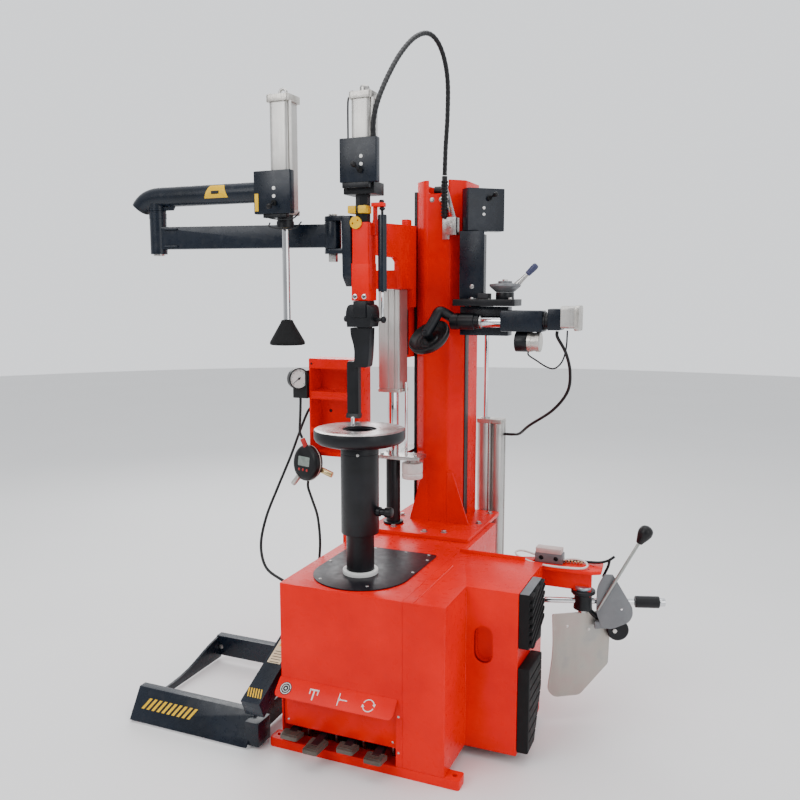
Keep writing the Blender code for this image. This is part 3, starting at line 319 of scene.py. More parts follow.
def smooth_route(points, spacing):
    """Points at even spacing along a smooth curve through a route's own points."""
    points = [Vector(point) for point in points]
    ends = [2 * points[0] - points[1]] + points + [2 * points[-1] - points[-2]]
    fine = []
    for index in range(len(points) - 1):
        before, start, end, after = ends[index:index + 4]
        for step in range(30):
            t = step / 30
            fine.append(0.5 * (2 * start + (end - before) * t
                               + (2 * before - 5 * start + 4 * end - after) * t * t
                               + (3 * start - before - 3 * end + after) * t ** 3))
    fine.append(points[-1])
    lengths = [0.0]
    for first, second in zip(fine, fine[1:]):
        lengths.append(lengths[-1] + (second - first).length)
    count = max(4, round(lengths[-1] / spacing))
    even = []
    place = 0
    for step in range(count + 1):
        wanted = lengths[-1] * step / count
        while place < len(fine) - 2 and lengths[place + 1] < wanted:
            place += 1
        share = (wanted - lengths[place]) / (lengths[place + 1] - lengths[place])
        even.append(fine[place].lerp(fine[place + 1], min(1.0, share)))
    return even


def tube(path, radius, sides=14, swell=None):
    """A tube along a path; swell(step) scales its radius at each point, as on a ribbed hose."""
    bm = bmesh.new()
    rings = []
    side = None
    for index, point in enumerate(path):
        ahead = path[min(index + 1, len(path) - 1)] - path[max(index - 1, 0)]
        ahead.normalize()
        if side is None:
            hint = UP if abs(ahead.z) < 0.9 else Vector(RIGHT)
            side = hint.cross(ahead).normalized()
        side = (side - ahead * side.dot(ahead)).normalized()
        up = ahead.cross(side)
        wide = radius * (swell(index) if swell else 1.0)
        ring = []
        for step in range(sides):
            angle = 2 * math.pi * step / sides
            ring.append(bm.verts.new(point + (side * math.cos(angle) + up * math.sin(angle)) * wide))
        rings.append(ring)
    for lower, upper in zip(rings, rings[1:]):
        skin(bm, lower, upper)
    bm.faces.new(rings[0])
    bm.faces.new(rings[-1])
    return as_object(bm)


def bolt_head(point, axis, radius=0.008, height=0.006):
    """A hexagon bolt head on its washer, standing on the point along the axis."""
    point = Vector(point)
    head = turned([(radius * 0.92, 0.0), (radius, 0.0006), (radius, height * 0.85),
                   (radius * 0.86, height)], point + Vector(axis).normalized() * 0.0012, axis, HEXAGON)
    ring = turned(barrel(radius * 1.45, -0.0004, 0.001, 0.0004), point, axis, SMALL)
    return [head, ring]


def cap_screw(point, axis, radius=0.006, height=0.005):
    """A socket screw: a knurled head with a hexagon recess."""
    head = turned(barrel(radius, -0.0004, height, HAIR_EDGE), point, axis, SMALL)
    recess = turned([(radius * 0.52, height * 0.4), (radius * 0.52, height + 0.002)], point, axis, HEXAGON)
    return cut(head, recess)


def dome(point, axis, radius=0.005, height=0.002):
    """A low rounded screw or rivet head."""
    profile = [(radius, -0.0004)]
    for step in range(6):
        angle = math.radians(90 * step / 5)
        profile.append((radius * math.cos(angle), height * math.sin(angle)))
    profile[-1] = (0.0, height)
    return turned(profile, point, axis, SMALL)


# ---------------------------------------------------------------- materials

class Nodes:
    """A short way to build a material's node tree."""

    def __init__(self, name):
        self.material = bpy.data.materials.new(name)
        self.material.use_nodes = True
        self.tree = self.material.node_tree
        self.shader = self.tree.nodes["Principled BSDF"]
        place = self.tree.nodes.new("ShaderNodeTexCoord")
        self.place = place.outputs["Object"]

    def link(self, source, target):
        self.tree.links.new(source, target)

    def stretched(self, scale):
        mapping = self.tree.nodes.new("ShaderNodeMapping")
        mapping.inputs["Scale"].default_value = scale
        self.link(self.place, mapping.inputs["Vector"])
        return mapping.outputs["Vector"]

    def noise(self, scale, detail, vector=None, roughness=0.55):
        made = self.tree.nodes.new("ShaderNodeTexNoise")
        made.inputs["Scale"].default_value = scale
        made.inputs["Detail"].default_value = detail
        made.inputs["Roughness"].default_value = roughness
        self.link(vector or self.place, made.inputs["Vector"])
        return made.outputs["Fac"]

    def spread(self, value, low, high, start=0.3, end=0.7):
        made = self.tree.nodes.new("ShaderNodeMapRange")
        made.inputs["From Min"].default_value = start
        made.inputs["From Max"].default_value = end
        made.inputs["To Min"].default_value = low
        made.inputs["To Max"].default_value = high
        self.link(value, made.inputs["Value"])
        return made.outputs["Result"]

    def colours(self, value, stops):
        """A colour ramp; stops is a list of (position, (red, green, blue))."""
        ramp = self.tree.nodes.new("ShaderNodeValToRGB")
        while len(ramp.color_ramp.elements) < len(stops):
            ramp.color_ramp.elements.new(0.5)
        for element, (position, colour) in zip(ramp.color_ramp.elements, stops):
            element.position = position
            element.color = (*colour, 1.0)
        self.link(value, ramp.inputs["Fac"])
        return ramp.outputs["Color"]

    def mix(self, share, first, second):
        made = self.tree.nodes.new("ShaderNodeMix")
        made.data_type = "RGBA"
        self.link(share, made.inputs["Factor"])
        for source, target in ((first, made.inputs[6]), (second, made.inputs[7])):
            if isinstance(source, tuple):
                target.default_value = (*source, 1.0)
            else:
                self.link(source, target)
        return made.outputs[2]

    def maths(self, operation, first, second=None):
        made = self.tree.nodes.new("ShaderNodeMath")
        made.operation = operation
        for source, target in ((first, made.inputs[0]), (second, made.inputs[1])):
            if source is None:
                continue
            if isinstance(source, (int, float)):
                target.default_value = source
            else:
                self.link(source, target)
        return made.outputs["Value"]

    def bump(self, height, strength, distance):
        made = self.tree.nodes.new("ShaderNodeBump")
        made.inputs["Strength"].default_value = strength
        made.inputs["Distance"].default_value = distance
        self.link(height, made.inputs["Height"])
        self.link(made.outputs["Normal"], self.shader.inputs["Normal"])

    def finish(self, colour, roughness, metallic=0.0, **constants):
        self.link(colour, self.shader.inputs["Base Color"])
        self.link(roughness, self.shader.inputs["Roughness"])
        self.shader.inputs["Metallic"].default_value = metallic
        for name, value in constants.items():
            self.shader.inputs[name.replace("_", " ")].default_value = value
        return self.material


def paint(name, deep, bright, rough=(0.24, 0.36), gloss=0.25):
    """Powder coat: soft colour drift, orange-peel bump, dust that dulls it in patches."""
    nodes = Nodes(name)
    drift = nodes.noise(5.0, 3.0)
    colour = nodes.colours(drift, [(0.35, deep), (0.65, bright)])
    dust = nodes.noise(38.0, 6.0)
    colour = nodes.mix(nodes.spread(dust, 0.0, 0.02, 0.55, 0.75), colour, (0.42, 0.37, 0.33))
    nodes.bump(nodes.noise(420.0, 2.0), 0.35, 0.00005)
    return nodes.finish(colour, nodes.spread(dust, *rough), 0.0, Specular_IOR_Level=gloss)


def brushed(name, deep, bright, stretch, rough=(0.22, 0.42), metallic=1.0, lines=60.0, depth=0.00004):
    """Metal with fine lines along one direction and a little staining."""
    nodes = Nodes(name)
    grain = nodes.noise(lines, 6.0, nodes.stretched(stretch), 0.7)
    stain = nodes.noise(9.0, 5.0)
    colour = nodes.colours(nodes.maths("ADD", nodes.maths("MULTIPLY", grain, 0.45),
                                       nodes.maths("MULTIPLY", stain, 0.55)),
                           [(0.36, deep), (0.64, bright)])
    nodes.bump(grain, 0.4, depth)
    return nodes.finish(colour, nodes.spread(grain, *rough), metallic)


def lathe_steel(name):
    """Machined steel with turning marks in circles about the spindle."""
    nodes = Nodes(name)
    parts = nodes.tree.nodes.new("ShaderNodeSeparateXYZ")
    nodes.link(nodes.place, parts.inputs["Vector"])
    square_x = nodes.maths("MULTIPLY", parts.outputs["X"], parts.outputs["X"])
    square_y = nodes.maths("MULTIPLY", parts.outputs["Y"], parts.outputs["Y"])
    radius = nodes.maths("SQRT", nodes.maths("ADD", square_x, square_y))
    ring = nodes.tree.nodes.new("ShaderNodeCombineXYZ")
    nodes.link(radius, ring.inputs["X"])
    marks = nodes.noise(900.0, 2.0, ring.outputs["Vector"])
    stain = nodes.noise(11.0, 6.0)
    colour = nodes.colours(stain, [(0.35, (0.4, 0.36, 0.34)), (0.55, (0.62, 0.6, 0.6)),
                                   (0.7, (0.72, 0.71, 0.71))])
    nodes.bump(marks, 0.5, 0.00005)
    both = nodes.maths("ADD", nodes.maths("MULTIPLY", marks, 0.5), nodes.maths("MULTIPLY", stain, 0.5))
    return nodes.finish(colour, nodes.spread(both, 0.16, 0.42), 1.0)


def cast(name, deep, bright, metallic=0.0, rough=(0.45, 0.7), pit=0.0003):
    """A cast surface: pits and a mottled skin."""
    nodes = Nodes(name)
    skin_noise = nodes.noise(160.0, 5.0)
    patch = nodes.noise(14.0, 5.0)
    colour = nodes.colours(patch, [(0.35, deep), (0.68, bright)])
    nodes.bump(skin_noise, 0.5, pit)
    return nodes.finish(colour, nodes.spread(skin_noise, *rough), metallic, Specular_IOR_Level=0.3)


def moulded(name, deep, bright, rough, grain=900.0, depth=0.00006, gloss=0.3):
    """Rubber or plastic with a fine grain and faint scuffs."""
    nodes = Nodes(name)
    fine = nodes.noise(grain, 2.0)
    scuff = nodes.noise(26.0, 8.0, roughness=0.75)
    colour = nodes.colours(scuff, [(0.42, deep), (0.72, bright)])
    nodes.bump(fine, 0.5, depth)
    return nodes.finish(colour, nodes.spread(scuff, *rough), 0.0, Specular_IOR_Level=gloss)


def zinc_plate(name):
    """Passivated zinc: grey with beige and rosy clouds."""
    nodes = Nodes(name)
    cloud = nodes.noise(6.0, 5.0, roughness=0.6)
    tint = nodes.colours(cloud, [(0.36, (0.34, 0.345, 0.34)), (0.5, (0.43, 0.4, 0.36)),
                                 (0.62, (0.45, 0.37, 0.34)), (0.74, (0.5, 0.49, 0.45))])
    streak = nodes.noise(40.0, 6.0, nodes.stretched((1.0, 1.0, 0.15)))
    nodes.bump(streak, 0.25, 0.0001)
    return nodes.finish(tint, nodes.spread(streak, 0.38, 0.58), 0.75)


MATERIALS = {
    "red": paint("red_powder_coat", (0.7, 0.0012, 0.0002), (0.82, 0.0045, 0.0008), gloss=0.12),
    "black": paint("black_powder_coat", (0.003, 0.006, 0.012), (0.006, 0.011, 0.021), (0.22, 0.36),
                   gloss=0.34),
    "dark": paint("dark_cover_paint", (0.006, 0.005, 0.008), (0.012, 0.01, 0.014), (0.3, 0.46)),
    "steel": brushed("plain_steel", (0.36, 0.35, 0.34), (0.6, 0.59, 0.57), (1.0, 1.0, 8.0)),
    "disc": lathe_steel("turned_steel"),
    "chrome": brushed("polished_chrome", (0.66, 0.67, 0.69), (0.86, 0.87, 0.88), (1.0, 1.0, 0.05),
                      (0.05, 0.16), lines=30.0, depth=0.00001),
    "extrusion": brushed("anodised_extrusion", (0.44, 0.43, 0.41), (0.6, 0.59, 0.57), (1.0, 1.0, 0.02),
                         (0.34, 0.5), metallic=0.85, lines=260.0),
    "alloy": cast("cast_alloy", (0.42, 0.4, 0.37), (0.66, 0.64, 0.6), 0.9, (0.32, 0.5), 0.00015),
    "iron": cast("cast_iron_paint", (0.012, 0.012, 0.014), (0.03, 0.03, 0.034)),
    "burnished": cast("blackened_steel", (0.003, 0.0035, 0.005), (0.008, 0.009, 0.012), 0.0, (0.3, 0.46),
                      0.0001),
    "zinc": zinc_plate("passivated_zinc"),
    "sector": brushed("zinc_grey", (0.15, 0.155, 0.165), (0.21, 0.215, 0.225), (1.0, 1.0, 1.0),
                      (0.4, 0.55), 0.6, 20.0),
    "blue_steel": brushed("blued_cap", (0.36, 0.42, 0.48), (0.48, 0.55, 0.61), (1.0, 1.0, 1.0),
                          (0.3, 0.45), 0.8, 20.0),
    "stalk": brushed("dull_lever_steel", (0.3, 0.31, 0.29), (0.4, 0.41, 0.39), (1.0, 1.0, 0.2),
                     (0.32, 0.45), 0.9, 40.0),
    "tread": cast("worn_tread_metal", (0.09, 0.075, 0.062), (0.15, 0.13, 0.112), 0.5, (0.42, 0.6),
                  0.0002),
    "rosy": cast("rosy_alloy", (0.52, 0.4, 0.38), (0.66, 0.53, 0.5), 0.5, (0.35, 0.5), 0.0001),
    "rubber": moulded("moulded_rubber", (0.004, 0.004, 0.0045), (0.012, 0.012, 0.013), (0.55, 0.8), 300.0,
                      0.0002, 0.2),
    "hose": moulded("hose_rubber", (0.004, 0.004, 0.005), (0.01, 0.01, 0.012), (0.32, 0.5), 700.0,
                    0.0001, 0.3),
    "plastic": moulded("moulded_plastic", (0.004, 0.004, 0.005), (0.009, 0.009, 0.011), (0.3, 0.5)),
    "handle_blue": moulded("blue_grey_grip", (0.045, 0.05, 0.11), (0.07, 0.076, 0.15), (0.25, 0.4)),
    "white": moulded("white_film", (0.72, 0.72, 0.7), (0.84, 0.84, 0.82), (0.25, 0.4)),
    # Also colours the pale tubes down the head and press cylinders, where its white is a painted
    # reflection.
    "cable": moulded("white_cable_sheath", (0.66, 0.64, 0.61), (0.8, 0.78, 0.75), (0.3, 0.45)),
    "yellow": moulded("yellow_film", (0.76, 0.44, 0.005), (0.9, 0.56, 0.012), (0.25, 0.4)),
    "signal_red": moulded("red_plastic", (0.42, 0.02, 0.02), (0.6, 0.04, 0.03), (0.3, 0.45)),
    "brass": brushed("brass_fitting", (0.52, 0.38, 0.18), (0.72, 0.56, 0.3), (1.0, 1.0, 6.0), (0.2, 0.35)),
    "cream": moulded("cream_film", (0.7, 0.62, 0.4), (0.82, 0.74, 0.5), (0.25, 0.4)),
    "screen": moulded("grey_display", (0.2, 0.24, 0.22), (0.32, 0.37, 0.33), (0.1, 0.2)),
}


def piece(name, solid, look, body, *stands_for):
    """Names a finished solid, gives it its material and makes it ride on its body, if it has one."""
    solid.name = name
    solid.data.name = name
    solid.data.materials.clear()
    solid.data.materials.append(MATERIALS[look])
    solid.data.shade_smooth()
    solid.data.set_sharp_from_angle(angle=math.radians(34))
    if body:
        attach(solid, body)
    if stands_for:
        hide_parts(*stands_for)
    return solid


def keep_node(name, look):
    """A CAD node that stays as it is and only gets its finish."""
    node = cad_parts[name]
    node.data.materials.clear()
    node.data.materials.append(MATERIALS[look])


# ---------------------------------------------------------------- camera and light

def add_camera():
    """Looks down a little from the front right, as the picture of the machine does."""
    looks_down = 7.51
    turned_left = 22.69
    data = bpy.data.cameras.new("camera")
    data.lens = 37.0
    data.clip_end = 60.0
    camera = bpy.data.objects.new("camera", data)
    camera.location = (1.1462, -2.3986, 1.511)
    camera.rotation_euler = (math.radians(90 - looks_down), 0, math.radians(turned_left))
    bpy.context.scene.collection.objects.link(camera)
    bpy.context.scene.camera = camera


def add_light(name, location, target, size, power):
    data = bpy.data.lights.new(name, "AREA")
    data.shape = "RECTANGLE"
    data.size = size[0]
    data.size_y = size[1]
    data.energy = power
    light = bpy.data.objects.new(name, data)
    light.location = location
    direction = Vector(target) - Vector(location)
    light.rotation_euler = direction.to_track_quat("-Z", "Y").to_euler()
    bpy.context.scene.collection.objects.link(light)


def add_studio():
    add_light("key", (-1.6, -3.6, 3.6), (0.0, 0.1, 0.9), (2.6, 2.6), 100)
    add_light("fill", (3.4, -1.6, 2.2), (0.1, 0.2, 1.0), (2.4, 3.0), 42)
    add_light("top", (0.2, 0.4, 4.6), (0.1, 0.3, 0.8), (3.6, 3.6), 90)
    add_light("rear", (-2.2, 3.2, 2.8), (0.0, 0.5, 1.0), (2.2, 2.2), 60)
    world = bpy.data.worlds.new("studio")
    world.use_nodes = True
    tree = world.node_tree
    background = tree.nodes["Background"]
    background.inputs["Color"].default_value = (0.95, 0.97, 1.0, 1.0)
    place = tree.nodes.new("ShaderNodeTexCoord")
    parts = tree.nodes.new("ShaderNodeSeparateXYZ")
    shade = tree.nodes.new("ShaderNodeMapRange")
    shade.inputs["From Min"].default_value = -0.9
    shade.inputs["From Max"].default_value = 0.6
    shade.inputs["To Min"].default_value = 0.45
    shade.inputs["To Max"].default_value = 1.35
    tree.links.new(place.outputs["Generated"], parts.inputs["Vector"])
    tree.links.new(parts.outputs["Y"], shade.inputs["Value"])
    tree.links.new(shade.outputs["Result"], background.inputs["Strength"])
    bpy.context.scene.world = world


def add_floor():
    bm = bmesh.new()
    bmesh.ops.create_circle(bm, cap_ends=True, radius=14.0, segments=96)
    floor = as_object(bm, "floor")
    nodes = Nodes("pale_floor")
    patch = nodes.noise(0.8, 3.0)
    colour = nodes.colours(patch, [(0.3, (0.83, 0.83, 0.83)), (0.7, (0.86, 0.86, 0.86))])
    floor.data.materials.append(nodes.finish(colour, nodes.spread(patch, 0.55, 0.65)))


# ---------------------------------------------------------------- hoses

def hose(name, node, route, radius, body, ribs=0.0, other=None):
    """A hose along its route: one closed tube, ribbed if asked, fixed in place on no body when it runs
    between two bodies.
    """
    spacing = radius * (0.55 if ribs else 1.0)
    path = smooth_route(route, spacing)
    swell = (lambda step: 1.0 - (ribs if step % 4 > 1 else 0.0)) if ribs else None
    solid = tube(path, radius, 16, swell)
    made = piece(name, solid, "hose", None if other else body, node)
    if other:
        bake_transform(made)


def add_hoses():
    top = [(0.0, 0.118, 2.0125), (0.0, 0.119, 2.06), (0.002, 0.15, 2.13), (0.006, 0.22, 2.22),
           (0.014, 0.31, 2.315), (0.03, 0.4, 2.39), (0.048, 0.48, 2.425), (0.064, 0.54, 2.412),
           (0.074, 0.59, 2.36), (0.078, 0.618, 2.28), (0.074, 0.628, 2.16), (0.067, 0.63, 2.05),
           (0.064, 0.63, 1.95)]
    hose("top_hose_sleeve", "top_hose", top, 0.009, "tool_slide", ribs=0.07,
         other="frame")
    supply = [(-0.38, 0.39, 1.06), (-0.402, 0.388, 1.057), (-0.418, 0.352, 0.99), (-0.42, 0.27, 0.89),
              (-0.424, 0.18, 0.79), (-0.42, 0.09, 0.7), (-0.4, 0.02, 0.62), (-0.35, -0.03, 0.56),
              (-0.28, -0.045, 0.53), (-0.232, -0.045, 0.52), (-0.2066, -0.045, 0.518)]
    hose("tray_supply_tube", "tray_supply_hose", supply, 0.005, "frame")
    gauge = [(-0.418, 0.35, 1.1052), (-0.418, 0.349, 1.08), (-0.414, 0.338, 1.035), (-0.402, 0.312, 0.995),
             (-0.392, 0.297, 0.979), (-0.3828, 0.296, 0.9597)]
    hose("gauge_tube", "gauge_hose", gauge, 0.005, "frame")
    inflator = [(-0.36, 0.296, 0.796), (-0.359, 0.294, 0.77), (-0.325, 0.265, 0.73), (-0.285, 0.23, 0.68),
                (-0.26, 0.2, 0.6), (-0.256, 0.184, 0.52), (-0.25, 0.179, 0.48), (-0.238, 0.178, 0.464),
                (-0.2068, 0.178, 0.462)]
    hose("inflator_tube", "inflator_hose", inflator, 0.005, "frame")
    arm = [(0.523, SLIDE_Y, 1.369), (0.524, 0.563, 1.348), (0.548, 0.6, 1.29), (0.557, 0.645, 1.215),
           (0.54, 0.69, 1.135), (0.475, 0.74, 1.055), (0.37, 0.81, 0.98), (0.31, 0.89, 0.93),
           (0.275, 0.926, 0.917), (0.2325, 0.93, 0.915)]
    hose("arm_supply_tube", "arm_hose", arm, 0.006, "disc_slide", other="frame")
    line = [(0.418, SLIDE_Y, 1.294), (0.42, 0.561, 1.28), (0.45, 0.556, 1.262), (0.49, 0.55, 1.24),
            (0.52, 0.548, 1.236), (0.546, 0.55, 1.262), (0.558, 0.556, 1.31), (0.56, 0.56, 1.3725)]
    hose("arm_air_tube", "arm_air_line", line, 0.003, "disc_slide")


# ---------------------------------------------------------------- cabinet

def cabinet_outline():
    back_left, back_right, back, rear, rear_right = -0.11, 0.19, 0.89, 0.76, 0.25
    corners = [
        (CABINET_LEFT, CABINET_FRONT), (CABINET_RIGHT, CABINET_FRONT), (CABINET_RIGHT, PAD_BOX_FRONT),
        (PAD_BOX_RIGHT, PAD_BOX_FRONT), (PAD_BOX_RIGHT, PAD_BOX_REAR), (rear_right, PAD_BOX_REAR),
        (rear_right, rear), (back_right, rear), (back_right, back), (back_left, back), (back_left, rear),
        (CABINET_LEFT, rear)]
    radii = [0.006, 0.006, 0.003, 0.004, 0.004, 0.003, 0.004, 0.003, 0.004, 0.004, 0.003, 0.006]
    return rounded(corners, radii, 4)


def add_cabinet():
    bottom, sheet, notch_top = 0.0325, 0.003, 0.25
    shell = prism(cabinet_outline(), CABINET_TOP - bottom, level(bottom), 0.0025)
    inside = box((CABINET_LEFT + sheet, CABINET_FRONT + sheet, 0), (0.247, 0.755, CABINET_TOP - sheet),
                 SHARP)
    inside_pad = box((0.24, PAD_BOX_FRONT + sheet, 0),
                     (PAD_BOX_RIGHT - sheet, PAD_BOX_REAR - sheet, CABINET_TOP - sheet), SHARP)
    inside_front = box((0.24, CABINET_FRONT + sheet, 0), (CABINET_RIGHT - sheet, 0.03, CABINET_TOP - sheet),
                       SHARP)
    notch = prism(rounded(rectangle(-0.2, 0.02, 0.205, notch_top), [0, 0, 0.012, 0.012]), 0.05,
                  upright((0, CABINET_FRONT + 0.025, 0), RIGHT))
    hatch = turned([(0.12, 0.55), (0.12, 0.6)])
    hand_hole = prism(slot_outline(*HAND_HOLE, 0.031, 0.062), 0.03,
                      upright((0, PAD_BOX_FRONT + 0.015, 0), RIGHT))
    seam = box((0.2262, CABINET_FRONT - 0.01, 0.02), (0.2278, CABINET_FRONT + 0.0012, 0.5725), SHARP)
    top_seam = box((0.2262, CABINET_FRONT, CABINET_TOP - 0.001), (0.2278, 0.755, CABINET_TOP + 0.01), SHARP)
    shell = cut(shell, join(inside, inside_pad, inside_front), notch, hatch, hand_hole, seam, top_seam)
    piece("cabinet_shell", shell, "red", "frame", "cabinet")


def add_cabinet_details():
    """The breaker arm's hinge lug, the weld bead, the rear rim, the slot lining and the panel screws."""
    lug = prism(rounded(rectangle(0.446, 0.3445, 0.514, 0.434), [0.002, 0.002, 0.033, 0.033], 10), 0.0477,
                level(0.352), SOFT_EDGE)
    rim = box((0.236, 0.341, 0.5745), (0.476, 0.346, 0.588), EDGE)
    bead_path = [Vector((0.262 + 0.0012 * math.sin(step * 1.9), -0.178 + step * 0.0032, CABINET_TOP))
                 for step in range(116)]
    bead = tube(bead_path, 0.0022, 8, lambda step: 1.0 + 0.25 * math.sin(step * 2.1))
    piece("breaker_hinge_lug", lug, "red", "frame")
    piece("pad_box_rim", rim, "red", "frame")
    piece("cabinet_weld_bead", bead, "red", "frame")
    lining = prism(slot_outline(*HAND_HOLE, 0.0305, 0.0615), 0.02,
                   upright((0, PAD_BOX_FRONT + 0.03, 0), RIGHT))
    hollow = prism(slot_outline(*HAND_HOLE, 0.028, 0.059), 0.04,
                   upright((0, PAD_BOX_FRONT + 0.0265, 0), RIGHT))
    piece("hand_hole_cup", cut(lining, hollow), "red", "frame")
    screws = []
    for x, z in ((-0.185, 0.105), (0.19, 0.105), (-0.185, 0.236), (0.19, 0.236), (0.214, 0.2),
                 (0.214, 0.08)):
        depth = CABINET_FRONT + (0.0105 if x < 0.205 else 0.0)
        screws.append(dome((x, depth, z), FORWARD, 0.0042, 0.0016))
    piece("front_screws", gather(screws), "steel", "frame")
    vents = []
    for step in range(9):
        low = 0.22 + step * 0.022
        corners = (CABINET_LEFT - 0.0028, 0.34, low), (CABINET_LEFT + 0.001, 0.48, low + 0.008)
        vents.append(box(*corners, 0.0012))
    piece("side_louvres", gather(vents), "red", "frame")
    back_panel = prism(rounded(rectangle(-0.085, 0.12, 0.165, 0.5), 0.012), 0.0025,
                       upright((0, 0.8925, 0), RIGHT), HAIR_EDGE)
    piece("rear_service_panel", back_panel, "red", "frame")
    rear_screws = [dome((x, 0.8925, z), (0, 1, 0), 0.004, 0.0016)
                   for x in (-0.072, 0.152) for z in (0.133, 0.487)]
    piece("rear_panel_screws", gather(rear_screws), "steel", "frame")


def add_base():
    front = prism(rounded(rectangle(-0.254, -0.182, 0.414, -0.127), 0.01), 0.032, level(0.0), SOFT_EDGE)
    rear = prism(rounded(rectangle(-0.254, 0.7, 0.3, 0.755), 0.01), 0.032, level(0.0), SOFT_EDGE)
    holes = [turned([(0.0075, -0.01), (0.0075, 0.05)], (x, y, 0), sides=SMALL)
             for x, y in ((-0.232, -0.154), (0.391, -0.154), (-0.232, 0.728), (0.278, 0.728))]
    left = box((-0.2, -0.13, 0.0), (-0.16, 0.705, 0.031))
    right = box((0.2, -0.13, 0.0), (0.24, 0.705, 0.031))
    pad_foot = box((0.3, -0.13, 0.0), (0.34, 0.33, 0.031))
    back_bar = box((0.235, 0.29, 0.0), (0.342, 0.33, 0.031))
    pan = box((-0.2, -0.176, 0.0), (0.244, 0.75, 0.005), THIN_EDGE)
    body = cut(join(front, rear, left, right, pad_foot, back_bar, pan), *holes)
    piece("base_bars", body, "red", "frame", "base_frame")
    ears = []
    for x in PEDALS:
        for side in (-1, 1):
            middle = x + side * 0.02
            outline = rounded(rectangle(-0.122, 0.003, -0.098, 0.114), [0, 0, 0.011, 0.011])
            ears.append(prism(outline, 0.006, side_profile(middle - 0.003), 0.0006))
    piece("pedal_hinge_ears", gather(ears), "steel", "frame")


def add_top_cover():
    outline = arc(0.008, 0.0, 0.165, 180, 360, 60)
    outline += rounded([(0.173, 0.0), (0.176, 0.268), (-0.157, 0.268), (-0.157, 0.0)],
                       [0, 0.014, 0.014, 0])[1:-1]
    plate = prism(outline, 0.0045, level(CABINET_TOP + 0.0003), THIN_EDGE)
    hole = turned([(0.059, 0.55), (0.059, 0.6)])
    piece("top_cover_plate", cut(plate, hole), "dark", "frame", "top_cover")
    screws = []
    for x, y in ((-0.094, -0.109), (0.077, -0.113), (0.163, 0.064), (0.163, 0.2), (0.148, 0.256),
                 (0.06, 0.256), (-0.06, 0.256), (-0.146, 0.2), (-0.146, 0.064)):
        screws.append(dome((x, y, CABINET_TOP + 0.0048), UP, 0.0055, 0.0022))
    piece("top_cover_screws", gather(screws), "steel", "frame")
    collar = turned([(0.05, 0.579), (0.0588, 0.579), (0.0592, 0.58), (0.0592, 0.5915), (0.0585, 0.593),
                     (0.05, 0.5936)])
    bore = turned([(0.0475, 0.57), (0.0475, 0.6)])
    piece("spindle_collar", cut(collar, bore), "white", "frame")


def add_pedal_panel():
    front = CABINET_FRONT + 0.01
    panel = prism(rounded(rectangle(-0.1995, 0.0875, 0.2045, 0.2497), [0.004, 0.004, 0.01, 0.01]), 0.003,
                  upright((0, front + 0.003, 0), RIGHT), 0.0006)
    piece("pedal_back_panel", panel, "red", "frame", "pedal_panel")
    top = Vector((0.0, CABINET_FRONT - 0.001, 0.257))
    low = Vector((0.0, -0.2315, 0.2105))
    down = low - top
    outline = rounded(rectangle(-0.207, 0.0, 0.211, -down.length), [0.002, 0.002, 0.02, 0.02], 8)
    side = Vector(RIGHT)
    rise = -down.normalized()
    place = Matrix.Translation(top) @ facing(side, rise, side.cross(rise))
    plate = prism(outline, 0.0028, place @ level(-0.0032), THIN_EDGE)
    piece("pictogram_plate", plate, "red", "frame")
    fold = box((-0.18, CABINET_FRONT - 0.0015, 0.225), (0.185, CABINET_FRONT + 0.01, 0.2525), THIN_EDGE)
    piece("pictogram_plate_fold", fold, "red", "frame")
    add_pictograms(place)


def add_pictograms(place):
    """Plain signs for the four pedals: a tyre, a clamp, a post with an arrow, and a turning ring."""
    up = place @ level(-SKIN * 0.5)
    height = SKIN * 1.5
    middle = -0.036

    def ring(x, outer, inner, start, end):
        outline = arc(x, middle, outer, start, end, 30) + arc(x, middle, inner, end, start, 30)
        return prism(outline, height, up)

    def bar(x, y, width, tall):
        here = up @ Matrix.Translation((x, middle + y, 0))
        return prism(rectangle(-width / 2, -tall / 2, width / 2, tall / 2), height, here)

    def pointer(x, y, size, turn):
        here = up @ Matrix.Translation((x, middle + y, 0)) @ Matrix.Rotation(math.radians(turn), 4, "Z")
        return prism([(-size * 0.6, 0), (size * 0.6, 0), (0, size)], height, here)

    dark = prism(arc(-0.172, middle, 0.021, 0, 360, 40)[:-1], height * 0.6, up)
    piece("sign_disc", dark, "plastic", "frame")
    tyre = [ring(-0.172, 0.0185, 0.016, 0, 350), ring(-0.172, 0.0115, 0.0095, 0, 350),
            bar(-0.172, 0.0, 0.006, 0.006)]
    piece("sign_tyre", gather(tyre), "white", "frame")
    signs = [bar(-0.07, 0.013, 0.034, 0.0045), bar(-0.07, -0.005, 0.0045, 0.03),
             bar(-0.056, 0.006, 0.0035, 0.016), bar(-0.084, 0.006, 0.0035, 0.016),
             pointer(-0.07, -0.02, 0.0001, 0)]
    signs += [bar(0.02, 0.0, 0.003, 0.04), bar(0.037, 0.0, 0.026, 0.003), pointer(0.026, 0.0, 0.007, 90)]
    signs += [ring(0.124, 0.02, 0.017, 20, 160), ring(0.124, 0.02, 0.017, 200, 340),
              pointer(0.1415, 0.0065, 0.009, 200), pointer(0.1065, -0.0065, 0.009, 20)]
    piece("signs_white", gather(signs), "white", "frame")


